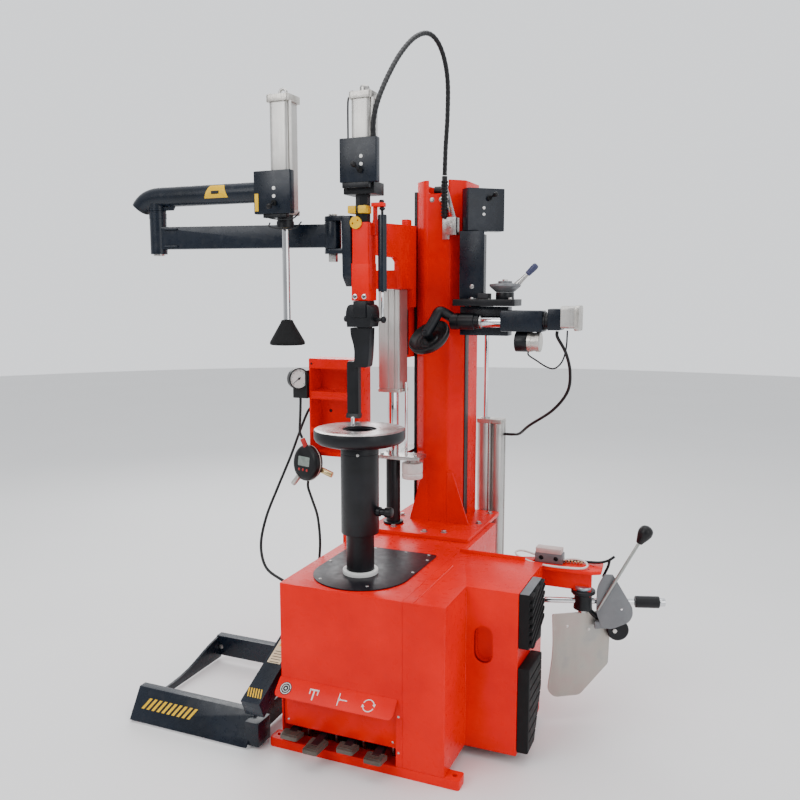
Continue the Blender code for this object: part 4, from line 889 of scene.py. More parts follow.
def add_pads():
    """Rubber tyre pads: the upper one with slanting ribs, both with softened edges."""
    left = PAD_BOX_RIGHT + 0.0003
    body = prism([(0.019, 0.395), (0.195, 0.37), (0.195, 0.575), (0.019, 0.575)], 0.034, side_profile(left),
                 0.004)
    trim = [(0.0215, 0.3975), (0.1925, 0.3735), (0.1925, 0.5725), (0.0215, 0.5725)]
    ribs = []
    for step in range(9):
        base = 0.372 + step * 0.026
        slope = [(0.01, base), (0.205, base + 0.075), (0.205, base + 0.088), (0.01, base + 0.013)]
        ribs.append(prism(slope, 0.0105, side_profile(left + 0.0335), 0.0022))
    window = prism(trim, 0.05, side_profile(left + 0.03))
    ribs = boolean(gather(ribs), [window], "INTERSECT")
    piece("upper_pad_block", body, "rubber", "frame", "upper_pad")
    piece("upper_pad_ribs", ribs, "rubber", "frame")
    lower = prism([(0.019, 0.046), (0.11, 0.046), (0.195, 0.2), (0.195, 0.32), (0.019, 0.33)], 0.038,
                  side_profile(left), 0.005)
    grooves = [box((left + 0.0345, 0.03, z), (left + 0.06, 0.3, z + 0.006), SHARP)
               for z in (0.08, 0.115, 0.15, 0.185, 0.22, 0.255, 0.29)]
    piece("lower_pad_block", cut(lower, *grooves), "rubber", "frame", "lower_pad")
    edge = prism(rectangle(0.02, 0.569, 0.194, 0.5752), 0.03, side_profile(left + 0.002), EDGE)
    piece("upper_pad_top_edge", edge, "sector", "frame")


def add_pedal(name, x, width, tip_y, look_length, ribs):
    """A cast tread with raised ribs on a black arm."""
    back = -0.096
    outline = [(back, 0.088), (back, 0.112), (-0.145, 0.083), (-0.182, 0.08), (tip_y + 0.03, 0.0775),
               (tip_y + 0.03, 0.064), (-0.182, 0.062), (-0.14, 0.07)]
    arm = prism(outline, 0.026, side_profile(x - 0.013), EDGE)
    pin = rod((x - 0.026, -0.11, 0.1), (x + 0.026, -0.11, 0.1), 0.006)
    piece(name + "_arm", join(arm, pin), "burnished", name)
    shape = rounded([(x - width * 0.42, tip_y), (x + width * 0.42, tip_y),
                     (x + width / 2, tip_y + look_length), (x - width / 2, tip_y + look_length)], 0.008)
    tread = prism(shape, 0.014, level(0.0605), 0.0022)
    piece(name + "_tread", tread, "tread", name, name)
    bars = []
    for step in range(ribs):
        low = tip_y + 0.007 + step * (look_length - 0.016) / max(1, ribs - 1)
        bars.append(box((x - width * 0.37, low, 0.0738), (x + width * 0.37, low + 0.0042, 0.0778),
                        THIN_EDGE))
    piece(name + "_tread_ribs", gather(bars), "tread", name)


def add_pedals():
    """Each pedal's name, place, width, front end, tread length and number of ribs, from left to right."""
    add_pedal("inflation_pedal", PEDALS[0], 0.074, -0.222, 0.046, 5)
    add_pedal("lift_pedal", PEDALS[1], 0.062, -0.272, 0.08, 9)
    add_pedal("clamp_pedal", PEDALS[2], 0.07, -0.226, 0.048, 5)
    add_pedal("rotation_pedal", PEDALS[3], 0.07, -0.246, 0.05, 5)


# ---------------------------------------------------------------- turntable

def add_turntable():
    top = DISC_TOP
    disc = turned([(0.066, top - 0.0516), (0.12, top - 0.05), (0.138, top - 0.044), (0.145, top - 0.0385),
                   (0.1485, top - 0.033), (0.15, top - 0.028), (0.15, top - 0.003), (0.149, top - 0.0014),
                   (0.1475, top - 0.0012)], sides=128)
    face = turned([(0.1475, top - 0.003), (0.1478, top - 0.001), (0.146, top), (0.118, top),
                   (0.1172, top - 0.0006), (0.1163, top - 0.0006), (0.1155, top), (0.07, top),
                   (0.0692, top - 0.0006), (0.06, top - 0.0007)], sides=128)
    bore = turned([(0.054, top - 0.08), (0.054, top - 0.003), (0.057, top), (0.057, top + 0.01)])
    face_bore = turned([(0.057, top - 0.08), (0.057, top + 0.01)])
    holes = []
    for step in range(4):
        angle = math.radians(28 + 90 * step)
        spot = (0.133 * math.cos(angle), 0.133 * math.sin(angle), 0)
        holes.append(turned([(0.006, top - 0.02), (0.006, top - 0.001), (0.0072, top),
                             (0.0072, top + 0.01)], spot, sides=SMALL))
    holes.append(turned([(0.0065, top - 0.034), (0.0065, top + 0.01)], (-0.048, 0.048, 0), sides=SMALL))
    copies = [twin(hole) for hole in holes]
    piece("clamp_disc", cut(disc, bore, *holes), "burnished", "turntable", "turntable_disc")
    piece("clamp_disc_face", cut(face, face_bore, *copies), "disc", "turntable")
    socket = turned([(0.0475, top - 0.03), (0.0538, top - 0.028), (0.0538, top - 0.0065),
                     (0.0475, top - 0.006)])
    throat = turned([(0.044, top - 0.05), (0.044, top + 0.01)])
    piece("bore_sleeve", cut(socket, throat), "burnished", "turntable")


def add_spindle():
    shoulder, top = 0.715, DISC_TOP - 0.052
    post = turned([(0.04, 0.205), (0.04, 0.5955), (0.0465, 0.596), (0.0465, shoulder - 0.004),
                   (0.048, shoulder), (0.062, shoulder + 0.0035), (0.063, shoulder + 0.006),
                   (0.063, top - 0.03), (0.0618, top - 0.0292), (0.0618, top - 0.0262),
                   (0.063, top - 0.0254), (0.063, top - 0.0008), (0.0625, top)], sides=WIDE)
    socket = turned([(0.045, top - 0.1), (0.045, top + 0.01)])
    piece("spindle_sleeve", cut(post, socket), "burnished", "turntable", "spindle_post")
    fitting = turned([(0.0105, 0.0), (0.016, 0.0005), (0.016, 0.012), (0.012, 0.0135), (0.012, 0.028)],
                     (0.0625, 0, 0.795), RIGHT, SMALL)
    knob = turned([(0.01, 0), (0.0155, 0.002), (0.0172, 0.007), (0.0172, 0.0215), (0.0155, 0.0265),
                   (0.01, 0.0285)], (0.0888, 0, 0.795), RIGHT, TINY)
    piece("spindle_side_fitting", fitting, "burnished", "turntable")
    piece("spindle_side_knob", knob, "plastic", "turntable")
    face = Vector((0.33, -0.944, 0.0)).normalized()
    screws = [cap_screw(face * 0.0628 + UP * 0.99, face, 0.005, 0.003)]
    for turn in (120, 240):
        around = Matrix.Rotation(math.radians(turn), 3, "Z") @ face
        screws.append(cap_screw(around * 0.0628 + UP * 0.99, around, 0.005, 0.003))
    piece("spindle_screws", gather(screws), "steel", "turntable")
    pin = turned([(0.006, DISC_TOP - 0.01), (0.006, DISC_TOP + 0.0245), (0.0052, DISC_TOP + 0.0275),
                  (0.0034, DISC_TOP + 0.0296), (0.0, DISC_TOP + 0.03)], (-0.048, 0.048, 0), sides=SMALL)
    piece("drive_pin_stud", pin, "chrome", "drive_pin", "drive_pin")


# ---------------------------------------------------------------- column

def column_outline(inset=0.0):
    corner = 0.05
    shift = inset * (math.sqrt(2) - 1)
    points = [(COLUMN_LEFT + inset, COLUMN_REAR - inset),
              (COLUMN_LEFT + inset, COLUMN_FRONT + corner + shift),
              (COLUMN_LEFT + corner + shift, COLUMN_FRONT + inset),
              (COLUMN_RIGHT - corner - shift, COLUMN_FRONT + inset),
              (COLUMN_RIGHT - inset, COLUMN_FRONT + corner + shift),
              (COLUMN_RIGHT - inset, COLUMN_REAR - inset)]
    return rounded(points, [0.006, 0.01, 0.01, 0.01, 0.01, 0.006], 4)


def add_column():
    wall = 0.006
    outer = prism(column_outline(), COLUMN_TOP - COLUMN_FOOT, level(COLUMN_FOOT), THIN_EDGE)
    inner = prism(column_outline(wall), 1.6, level(COLUMN_FOOT + 0.003))
    window = prism(rounded(rectangle(-0.005, 1.885, 0.076, 1.95), [0.01, 0.01, 0, 0]), 0.03,
                   upright((0, COLUMN_FRONT + 0.02, 0), RIGHT))
    piece("column_tube", cut(outer, inner, window), "red", "frame", "column")
    plate = prism(rounded(rectangle(-0.16, 0.452, 0.23, 0.882), 0.012), 0.0145, level(CABINET_TOP + 0.0003),
                  SOFT_EDGE)
    piece("column_base_plate", plate, "red", "frame")
    gusset = prism(rounded([(-0.081, 0.589), (0.0, 0.589), (-0.01, 0.8), (-0.024, 0.8)],
                           [0.002, 0.002, 0.01, 0.01]), 0.008, upright((0, COLUMN_FRONT + 0.006, 0), RIGHT),
                   THIN_EDGE)
    right = prism(rounded([(COLUMN_RIGHT - 0.052, 0.589), (COLUMN_RIGHT + 0.04, 0.589),
                           (COLUMN_RIGHT - 0.03, 0.8), (COLUMN_RIGHT - 0.052, 0.8)], 0.004), 0.008,
                  upright((0, COLUMN_FRONT + 0.006, 0), RIGHT), THIN_EDGE)
    piece("column_gusset_left", gusset, "red", "frame")
    piece("column_gusset_right", right, "red", "frame")
    bolts = []
    for x, y in ((-0.097, 0.51), (-0.13, 0.68), (-0.13, 0.84), (0.114, 0.509), (0.2, 0.68), (0.2, 0.84),
                 (0.04, 0.49)):
        bolts += bolt_head((x, y, COLUMN_FOOT), UP, 0.0095, 0.007)
    piece("column_foot_bolts", gather(bolts), "steel", "frame")
    rails = [box((COLUMN_LEFT - 0.012, 0.692, 0.61), (COLUMN_LEFT + 0.0005, 0.735, 1.9), EDGE),
             box((COLUMN_RIGHT - 0.0005, 0.692, 0.61), (COLUMN_RIGHT + 0.003, 0.735, 1.9), THIN_EDGE)]
    piece("column_guide_rails", gather(rails), "burnished", "frame")
    rail_screws = []
    for step in range(9):
        spot = (COLUMN_LEFT - 0.0116, 0.7135, 0.7 + step * 0.14)
        rail_screws.append(dome(spot, (-1, 0, 0), 0.0045, 0.0008))
    piece("column_rail_screws", gather(rail_screws), "steel", "frame")
    studs = []
    for x in (0.047, 0.01):
        studs += bolt_head((x, COLUMN_FRONT, 1.861), FORWARD, 0.0065, 0.005)
    piece("column_top_bolts", gather(studs), "steel", "frame")
    cover = prism(column_outline(wall + 0.001), 0.003, level(1.868), 0.0005)
    piece("column_inner_lid", cover, "dark", "frame")
    pulley = rod((-0.02, 0.76, 1.905), (0.06, 0.76, 1.905), 0.022)
    piece("column_top_pulley", pulley, "plastic", "frame")


def add_lift_post():
    """The post under the tool arm: its black tube, the platform, the light drum and the piston rod."""
    tube_part = turned(barrel(0.028, COLUMN_FOOT + 0.0003, 0.8575, SOFT_EDGE), LIFT)
    flange = turned(barrel(0.04, COLUMN_FOOT + 0.0003, COLUMN_FOOT + 0.01, SOFT_EDGE), LIFT)
    platform = prism(rounded(rectangle(-0.174, 0.515, 0.006, 0.605), 0.008), 0.015, level(0.857), EDGE)
    bracket = box((-0.15, 0.6, 0.857), (COLUMN_LEFT - 0.0123, 0.8, 0.872))
    rod_part = turned(barrel(0.022, 0.87, 1.18, THIN_EDGE), LIFT)
    piece("lift_post_tube", join(tube_part, flange), "burnished", "frame", "lift_post")
    piece("lift_platform_plate", join(platform, bracket), "steel", "frame")
    piece("lift_piston_rod", rod_part, "chrome", "frame")
    guide = turned(barrel(0.006, 0.87, 1.16, 0.0006), (-0.0645, LIFT.y, 0), sides=SMALL)
    piece("lift_guide_rod", guide, "chrome", "frame")
    drum = turned([(0.03, 0.779), (0.039, 0.7795), (0.041, 0.783), (0.041, 0.797), (0.0392, 0.799),
                   (0.0392, 0.803), (0.041, 0.805), (0.041, 0.838), (0.039, 0.842), (0.03, 0.8425)],
                  (-0.038, LIFT.y, 0))
    stem = turned(barrel(0.012, 0.8415, 0.8575, 0.0006), (-0.038, LIFT.y, 0), sides=SMALL)
    piece("air_filter_drum", join(drum, stem), "cable", "frame")
    nuts = []
    for x, y in ((-0.155, 0.53), (-0.012, 0.53), (-0.155, 0.59)):
        nuts += bolt_head((x, y, 0.872), UP, 0.0075, 0.006)
    piece("lift_platform_nuts", gather(nuts), "steel", "frame")


def add_rear_cylinder():
    barrel_a = turned(barrel(0.032, 0.222, 0.962, THIN_EDGE), REAR_ROD)
    barrel_b = turned(barrel(0.026, 0.222, 0.962, THIN_EDGE), (0.205, 0.93, 0))
    piece("rear_cylinder_barrels", join(barrel_a, barrel_b), "extrusion", "frame", "rear_cylinder")
    low = prism(rounded(rectangle(0.118, 0.8903, 0.232, 0.958), 0.01), 0.022, level(0.2), SOFT_EDGE)
    high = prism(rounded(rectangle(0.118, 0.895, 0.232, 0.958), 0.01), 0.018, level(0.962), SOFT_EDGE)
    gland = turned([(0.0105, 0.962), (0.02, 0.9622), (0.02, 0.984), (0.018, 0.985), (0.0105, 0.985)],
                   REAR_ROD)
    piece("rear_cylinder_caps", gather([low, high]), "alloy", "frame")
    piece("rear_cylinder_gland", gland, "steel", "frame")
    ties = [turned(barrel(0.0035, 0.215, 0.97, 0.0005), spot, sides=TINY)
            for spot in ((0.124, 0.952, 0), (0.176, 0.954, 0), (0.228, 0.955, 0), (0.176, 0.898, 0))]
    piece("rear_cylinder_ties", gather(ties), "steel", "frame")


def add_hose_guide():
    block = box((0.083, 0.6, 1.724), (0.122, COLUMN_FRONT - 0.0003, 1.79), SOFT_EDGE)
    foot = box((0.055, 0.632, 1.71), (0.084, COLUMN_FRONT - 0.0003, 1.79), EDGE)
    piece("hose_guide_block", join(block, foot), "steel", "frame", "hose_guide")
    turn = Matrix.Translation((0.1, 0.632, 1.786)) @ Matrix.Rotation(math.radians(-16), 4, "Y")
    strip = prism(rounded(rectangle(-0.011, 0.0, 0.011, 0.15), [0, 0, 0.01, 0.01]), 0.004,
                  turn @ Matrix.Rotation(math.radians(90), 4, "X"), HAIR_EDGE)
    piece("hose_guide_strip", strip, "chrome", "frame")
    rings = []
    for step in range(11):
        centre = Vector((0.064, 0.63, 1.8 + step * 0.0125))
        rings.append(turned([(0.01, -0.004), (0.0138, -0.003), (0.0138, 0.003), (0.01, 0.004)], centre, UP,
                            SMALL))
    core = turned(barrel(0.0105, 1.79, 1.946, THIN_EDGE), (0.064, 0.63, 0), sides=SMALL)
    piece("hose_chain_links", gather(rings), "plastic", "frame")
    piece("hose_chain_core", core, "hose", "frame")
    piece("hose_guide_bolts", gather(bolt_head((0.102, 0.6, 1.757), FORWARD, 0.0065, 0.005)), "steel",
          "frame")


# ---------------------------------------------------------------- tray, gauge, inflator

def add_tray():
    left, right, front, rear, low, high = -0.378, -0.162, 0.345, 0.44, 0.887, 1.26
    body = box((left, front, low), (right, rear, high), CAST_EDGE)
    shelf = 0.008
    recesses = [box((left + shelf, front - 0.01, bottom), (right - shelf, rear - shelf, top), EDGE)
                for bottom, top in ((1.135, 1.222), (0.995, 1.105), (0.902, 0.975))]
    piece("tool_tray_box", cut(body, *recesses), "red", "frame", "tool_tray")
    post = box((-0.232, 0.331, 0.3), (CABINET_LEFT - 0.0003, 0.359, 0.893), SOFT_EDGE)
    piece("tool_tray_post", post, "red", "frame")
    lips = [box((left + 0.01, front - 0.002, z), (right - 0.01, front + 0.002, z + 0.016), HAIR_EDGE)
            for z in (0.979, 1.108)]
    piece("tool_tray_lips", gather(lips), "red", "frame")
    screws = [dome((x, front, z), FORWARD, 0.0045, 0.0018) for x in (-0.366, -0.174) for z in (0.896, 1.24)]
    screws.append(dome((-0.33, rear - 0.008, 1.05), FORWARD, 0.0065, 0.003))
    piece("tool_tray_screws", gather(screws), "burnished", "frame")


def add_gauge():
    face = Vector((0.819, -0.574, 0.0)).normalized()
    centre = Vector((-0.398, 0.308, 1.184))
    case = turned([(0.03, -0.0285), (0.038, -0.0275), (0.04, -0.024), (0.04, -0.006), (0.0412, -0.004),
                   (0.0412, -0.001), (0.04, 0.0), (0.0365, 0.0)], centre, face)
    hollow = turned([(0.0362, -0.0045), (0.0362, 0.01)], centre, face)
    piece("gauge_case", cut(case, hollow), "plastic", "frame", "pressure_gauge")
    dial = turned([(0.0358, -0.005), (0.0358, -0.0038)], centre, face)
    piece("gauge_dial", dial, "white", "frame")
    side = UP.cross(face).normalized()
    marks = []
    for step in range(28):
        angle = math.radians(225 - step * 10)
        long = 0.007 if step % 3 == 0 else 0.004
        spoke = side * math.cos(angle) + UP * math.sin(angle)
        across = face.cross(spoke)
        spot = centre + spoke * (0.0335 - long) - face * 0.0039
        matrix = Matrix.Translation(spot) @ facing(across, spoke, face)
        half = 0.0007 if step % 3 == 0 else 0.0004
        marks.append(prism(rectangle(-half, 0, half, long), 0.0004, matrix))
    spoke = side * math.cos(math.radians(215)) + UP * math.sin(math.radians(215))
    across = face.cross(spoke)
    matrix = Matrix.Translation(centre - face * 0.0032) @ facing(across, spoke, face)
    pointer = prism([(-0.0022, -0.008), (0.0022, -0.008), (0.0004, 0.03), (-0.0004, 0.03)], 0.0007, matrix)
    boss = turned([(0.0042, -0.004), (0.0042, -0.0014), (0.003, -0.0008)], centre, face, SMALL)
    piece("gauge_marks", gather(marks), "plastic", "frame")
    piece("gauge_pointer", join(pointer, boss), "plastic", "frame")
    back = box((-0.44, 0.331, 1.107), (-0.3785, 0.372, 1.214), SOFT_EDGE)
    piece("gauge_bracket", back, "plastic", "frame")
    fitting = turned([(0.006, 1.1055), (0.0085, 1.106), (0.0085, 1.112), (0.006, 1.1125), (0.006, 1.139)],
                     (-0.418, 0.35, 0), sides=HEXAGON)
    piece("gauge_fitting", fitting, "brass", "frame")


def add_inflator():
    face = Vector((-0.34, -0.93, 0.12)).normalized()
    centre = Vector((-0.362, 0.296, 0.866))
    body = turned([(0.04, -0.03), (0.05, -0.029), (0.06, -0.024), (0.066, -0.012), (0.068, -0.005),
                   (0.068, 0.009), (0.0665, 0.012), (0.06, 0.0175), (0.056, 0.0195), (0.05, 0.02)], centre,
                  face)
    side = UP.cross(face).normalized()
    rise = face.cross(side)
    place = Matrix.Translation(centre + face * 0.0185) @ facing(side, rise, face)
    well = prism(rounded(rectangle(-0.034, -0.014, 0.034, 0.026), 0.006), 0.004, place)
    piece("inflator_body", cut(body, well), "plastic", "frame", "tyre_inflator")
    glass = prism(rounded(rectangle(-0.032, -0.012, 0.032, 0.024), 0.004), 0.0012, place @ level(-0.0002),
                  0.0003)
    piece("inflator_display", glass, "screen", "frame")
    keys = []
    for x in (-0.022, 0.0, 0.022):
        spot = place @ Vector((x, -0.026, 0.0012))
        keys.append(dome(spot, face, 0.0055, 0.0022))
    piece("inflator_keys", gather(keys), "signal_red", "frame")
    ring = turned([(0.0664, -0.0085), (0.069, -0.0075), (0.069, -0.0045), (0.0664, -0.0035)], centre, face)
    inner = turned([(0.065, -0.02), (0.065, 0.02)], centre, face)
    piece("inflator_band", cut(ring, inner), "alloy", "frame")
    lever = rod(centre + Vector((-0.03, -0.01, -0.05)), centre + Vector((-0.058, -0.01, -0.085)), 0.0105,
                SMALL, CAST_EDGE)
    neck = rod(centre + Vector((0, 0, 0.05)), centre + Vector((-0.02, 0, 0.092)), 0.0095, SMALL, SOFT_EDGE)
    stub = rod(centre + Vector((0.04, 0.01, -0.02)), centre + Vector((0.1, 0.012, -0.042)), 0.0115, SMALL,
               SOFT_EDGE)
    piece("inflator_trigger", lever, "alloy", "frame")
    piece("inflator_neck", neck, "signal_red", "frame")
    piece("inflator_outlet", stub, "brass", "frame")


# ---------------------------------------------------------------- tool arm

def add_tool_carriage():
    left, plate_left, plate_right = -0.14, -0.078, -0.058
    slider = box((left, 0.64, 1.25), (COLUMN_LEFT - 0.0133, 0.805, 1.765), CAST_EDGE)
    flange = box((left, 0.616, 1.45), (plate_right, 0.65, 1.765), SOFT_EDGE)
    haunch = [(0.63, 1.765), (ARM_Y + 0.0323, 1.748), (ARM_Y + 0.0323, 1.64), (0.43, 1.636)]
    haunch += arc(0.43, 1.574, 0.062, 80, 10, 12)
    haunch += [(0.5, 1.522), (0.63, 1.522)]
    plate = prism(haunch, plate_right - plate_left, side_profile(plate_left), EDGE)
    block = box((-0.172, 0.508, 1.52), (plate_right - 0.004, 0.618, 1.592), CAST_EDGE)
    ear = box((-0.095, 0.585, 1.745), (-0.068, 0.625, 1.787), 0.004)
    ridge = box((plate_left - 0.012, 0.3, 1.738), (plate_right + 0.002, 0.345, 1.764), 0.006)
    piece("carriage_body", join(slider, flange, plate, block, ear, ridge), "red", "tool_slide",
          "tool_carriage")
    bolts = []
    for x, z in ((-0.082, 1.728), (-0.082, 1.598)):
        bolts += bolt_head((x, 0.616, z), FORWARD, 0.0065, 0.005)
    piece("carriage_bolts", gather(bolts), "red", "tool_slide")
    wear = [box((left + 0.004, 0.64 - 0.002, z), (COLUMN_LEFT - 0.016, 0.6405, z + 0.09), HAIR_EDGE)
            for z in (1.262, 1.35)]
    piece("carriage_wear_strips", gather(wear), "plastic", "tool_slide")


def add_lift_cylinder():
    """A square air cylinder hung from the carriage, with two grooves down its front."""
    low, high, half = 1.136, 1.519, 0.044
    tube_part = square_prism((LIFT.x, LIFT.y), half, low, high, 0.006, HAIR_EDGE, 5)
    bore = turned([(0.04, 1.1), (0.04, 1.5)], LIFT)
    grooves = [box((LIFT.x + offset - 0.003, LIFT.y - half - 0.003, low - 0.01),
                   (LIFT.x + offset + 0.003, LIFT.y - half + 0.003, high + 0.01), SHARP)
               for offset in (0.0, 0.026)]
    piece("lift_cylinder_tube", cut(tube_part, bore, *grooves), "extrusion", "tool_slide", "lift_cylinder")
    foot = prism(rounded(rectangle(-0.168, 0.512, -0.072, 0.608), 0.012), 0.013, level(1.1225), SOFT_EDGE)
    hole = turned([(0.0228, 1.1), (0.0228, 1.16)], LIFT)
    piece("lift_cylinder_foot", cut(foot, hole), "alloy", "tool_slide")


def add_tool_arm():
    front, rear = ARM_Y - 0.032, ARM_Y + 0.032
    upper = box((-0.09, front, 1.6), (-0.03, rear, 1.742), 0.0035)
    lower = box((-0.0937, front, 1.48), (-0.028, rear, 1.607), 0.0035)
    web = box((-0.078, rear - 0.002, 1.64), (-0.058, ARM_Y + 0.04, 1.742), SHARP)
    bore = turned([(0.0235, 1.69), (0.0235, 1.8)], (SHAFT_AXIS.x, ARM_Y, 0), sides=MEDIUM)
    strap = box((-0.034, 0.172, 1.7), (-0.0205, 0.196, 1.738), THIN_EDGE)
    upright_strap = box((-0.0275, 0.172, 1.7), (-0.0205, 0.196, 1.806), THIN_EDGE)
    lug = prism(rounded([(-0.0275, 0.155), (0.016, 0.155), (0.016, 0.185), (-0.0275, 0.196)], 0.004),
                0.0135, level(1.7925), SOFT_EDGE)
    piece("tool_arm_post", join(cut(join(upper, lower, web), bore), strap, upright_strap, lug), "red",
          "tool_slide", "tool_arm")
    washers = []
    sockets = []
    for x in (-0.08, -0.046):
        washers.append(turned([(0.0045, -0.0004), (0.009, -0.0004), (0.009, 0.0014), (0.0076, 0.0022),
                               (0.0045, 0.0022)], (x, front, 1.494), FORWARD, SMALL))
        sockets.append(cap_screw((x, front - 0.001, 1.494), FORWARD, 0.0046, 0.0028))
    piece("tool_arm_washers", gather(washers), "chrome", "tool_slide")
    piece("tool_arm_screws", gather(sockets), "burnished", "tool_slide")


def square_prism(centre, half, low, high, corner, edge, steps=8):
    """An upright square bar with rounded corners: an air cylinder's tube or its end plate."""
    x, y = centre
    outline = rounded(rectangle(x - half, y - half, x + half, y + half), corner, steps)
    return prism(outline, high - low, level(low), edge)


def square_barrel(centre, half, low, high):
    return square_prism(centre, half, low, high, 0.018, HAIR_EDGE)


def end_plate(centre, half, low, high):
    return square_prism(centre, half, low, high, 0.012, 0.0018)


def corner_screws(centre, reach, z):
    screws = []
    for side_x in (-1, 1):
        for side_y in (-1, 1):
            spot = (centre[0] + side_x * reach, centre[1] + side_y * reach, z)
            screws.append(cap_screw(spot, UP, 0.0052, 0.004))
    return screws


def add_head_cylinder():
    centre = (-0.055, ARM_Y)
    piece("head_cylinder_barrel", square_barrel(centre, 0.0365, 1.886, 2.1405), "extrusion", "tool_slide",
          "head_cylinder")
    caps = [end_plate(centre, 0.04, 1.8735, 1.8862), end_plate(centre, 0.0415, 2.14, 2.163)]
    piece("head_cylinder_caps", gather(caps), "alloy", "tool_slide")
    knob = turned([(0.017, 2.1625), (0.0172, 2.165), (0.0172, 2.18), (0.0155, 2.184), (0.012, 2.1875),
                   (0.0, 2.188)], (centre[0], centre[1], 0))
    piece("head_cylinder_stop", knob, "steel", "tool_slide")
    piece("head_cylinder_screws", gather(corner_screws(centre, 0.03, 2.1625)), "steel", "tool_slide")
    mount = box((-0.118, 0.1328, 1.833), (-0.005, 0.216, 1.874), CAST_EDGE)
    bore = turned([(0.0235, 1.82), (0.0235, 1.866)], (SHAFT_AXIS.x, ARM_Y, 0), sides=MEDIUM)
    piece("head_cylinder_mount", cut(mount, bore), "burnished", "tool_slide")
    pipe = [(-0.106, 0.1475, 1.905), (-0.106, 0.1475, 1.96), (-0.1062, 0.1475, 2.06),
            (-0.1062, 0.148, 2.12), (-0.105, 0.15, 2.145), (-0.0985, 0.152, 2.152), (-0.096, 0.1525, 2.152)]
    piece("head_cylinder_pipe", tube(smooth_route(pipe, 0.003), 0.003, TINY), "hose", "tool_slide")
    # A white tube down the barrel's right front corner: its white is a painted reflection, the pale light
    # that the barrel's side catches.
    pale = turned(barrel(0.0045, 1.885, 2.141, HAIR_EDGE), (-0.013, 0.1405, 0), sides=SMALL)
    piece("head_cylinder_tie_tube", pale, "cable", "tool_slide")


def control_box(name, low, high, body, node, dots):
    """A small black valve box with two push-in ports."""
    piece(name + "_shell", box(low, high, 0.004), "black", body, node)
    front = low[1]
    ports = []
    for x, z in dots:
        ring = turned([(0.006, -0.0004), (0.006, 0.0022), (0.0048, 0.003), (0.003, 0.003)], (x, front, z),
                      FORWARD, SMALL)
        ports.append(ring)
    piece(name + "_ports", gather(ports), "white", body)


def add_head_control_box():
    control_box("head_box", (-0.118, 0.104, 1.868), (0.017, 0.1325, 2.011), "tool_slide",
                "head_control_box", ((-0.038, 1.925), (-0.038, 1.95)))
    nose = box((-0.11, 0.106, 1.8505), (-0.012, 0.1325, 1.869), CAST_EDGE)
    piece("head_box_nose", nose, "burnished", "tool_slide")


def add_tool_shaft():
    centre = (SHAFT_AXIS.x, ARM_Y, 0)
    shaft = turned([(0.0225, 1.7), (0.025, 1.7005), (0.025, 1.8485), (0.0225, 1.85)], centre, sides=HEXAGON)
    piece("tool_shaft_bar", shaft, "burnished", "tool_slide", "tool_shaft")
    halves = [box((-0.105, 0.136, 1.771), (-0.0755, 0.182, 1.797), CAST_EDGE),
              box((-0.0665, 0.136, 1.771), (-0.037, 0.182, 1.797), CAST_EDGE)]
    edge = box((-0.0757, 0.14, 1.7715), (-0.0663, 0.178, 1.7965), THIN_EDGE)
    piece("tool_shaft_clamp", gather(halves), "yellow", "tool_slide")
    piece("tool_shaft_key", edge, "burnished", "tool_slide")
    disc = turned([(0.012, 0.0), (0.0205, 0.0004), (0.021, 0.002), (0.021, 0.0075), (0.0198, 0.009),
                   (0.0, 0.0092)], (-0.073, 0.1378, 1.74), FORWARD)
    holes = [rod((x, 0.1, z), (x, 0.1345, z), 0.0035) for x, z in ((-0.083, 1.737), (-0.064, 1.747))]
    piece("tool_lock_disc", cut(disc, *holes), "yellow", "tool_slide")


def add_helper_bracket():
    right = -0.0943
    outline = rounded([(0.14, 1.56), (0.17, 1.525), (0.2, 1.56), (0.205, 1.765), (0.135, 1.765)], 0.008)
    plate = prism(outline, 0.034, side_profile(right - 0.034), SOFT_EDGE)
    forks = []
    for low, high in ((1.64, 1.6567), (1.7503, 1.767)):
        forks.append(box((HINGE.x, 0.146, low), (right - 0.03, 0.204, high), EDGE))
        forks.append(turned(barrel(0.029, low, high, EDGE), HINGE))
    piece("helper_hinge_fork", join(plate, *forks), "black", "tool_slide", "helper_bracket")
    pin = turned([(0.01, 1.632), (0.01, 1.769), (0.015, 1.7692), (0.0155, 1.7705), (0.015, 1.7745),
                  (0.01, 1.775)], HINGE, sides=SMALL)
    nut = turned([(0.015, 1.6125), (0.016, 1.614), (0.016, 1.639), (0.015, 1.6405)], HINGE, sides=HEXAGON)
    piece("helper_hinge_pin", join(pin, nut), "steel", "tool_slide")


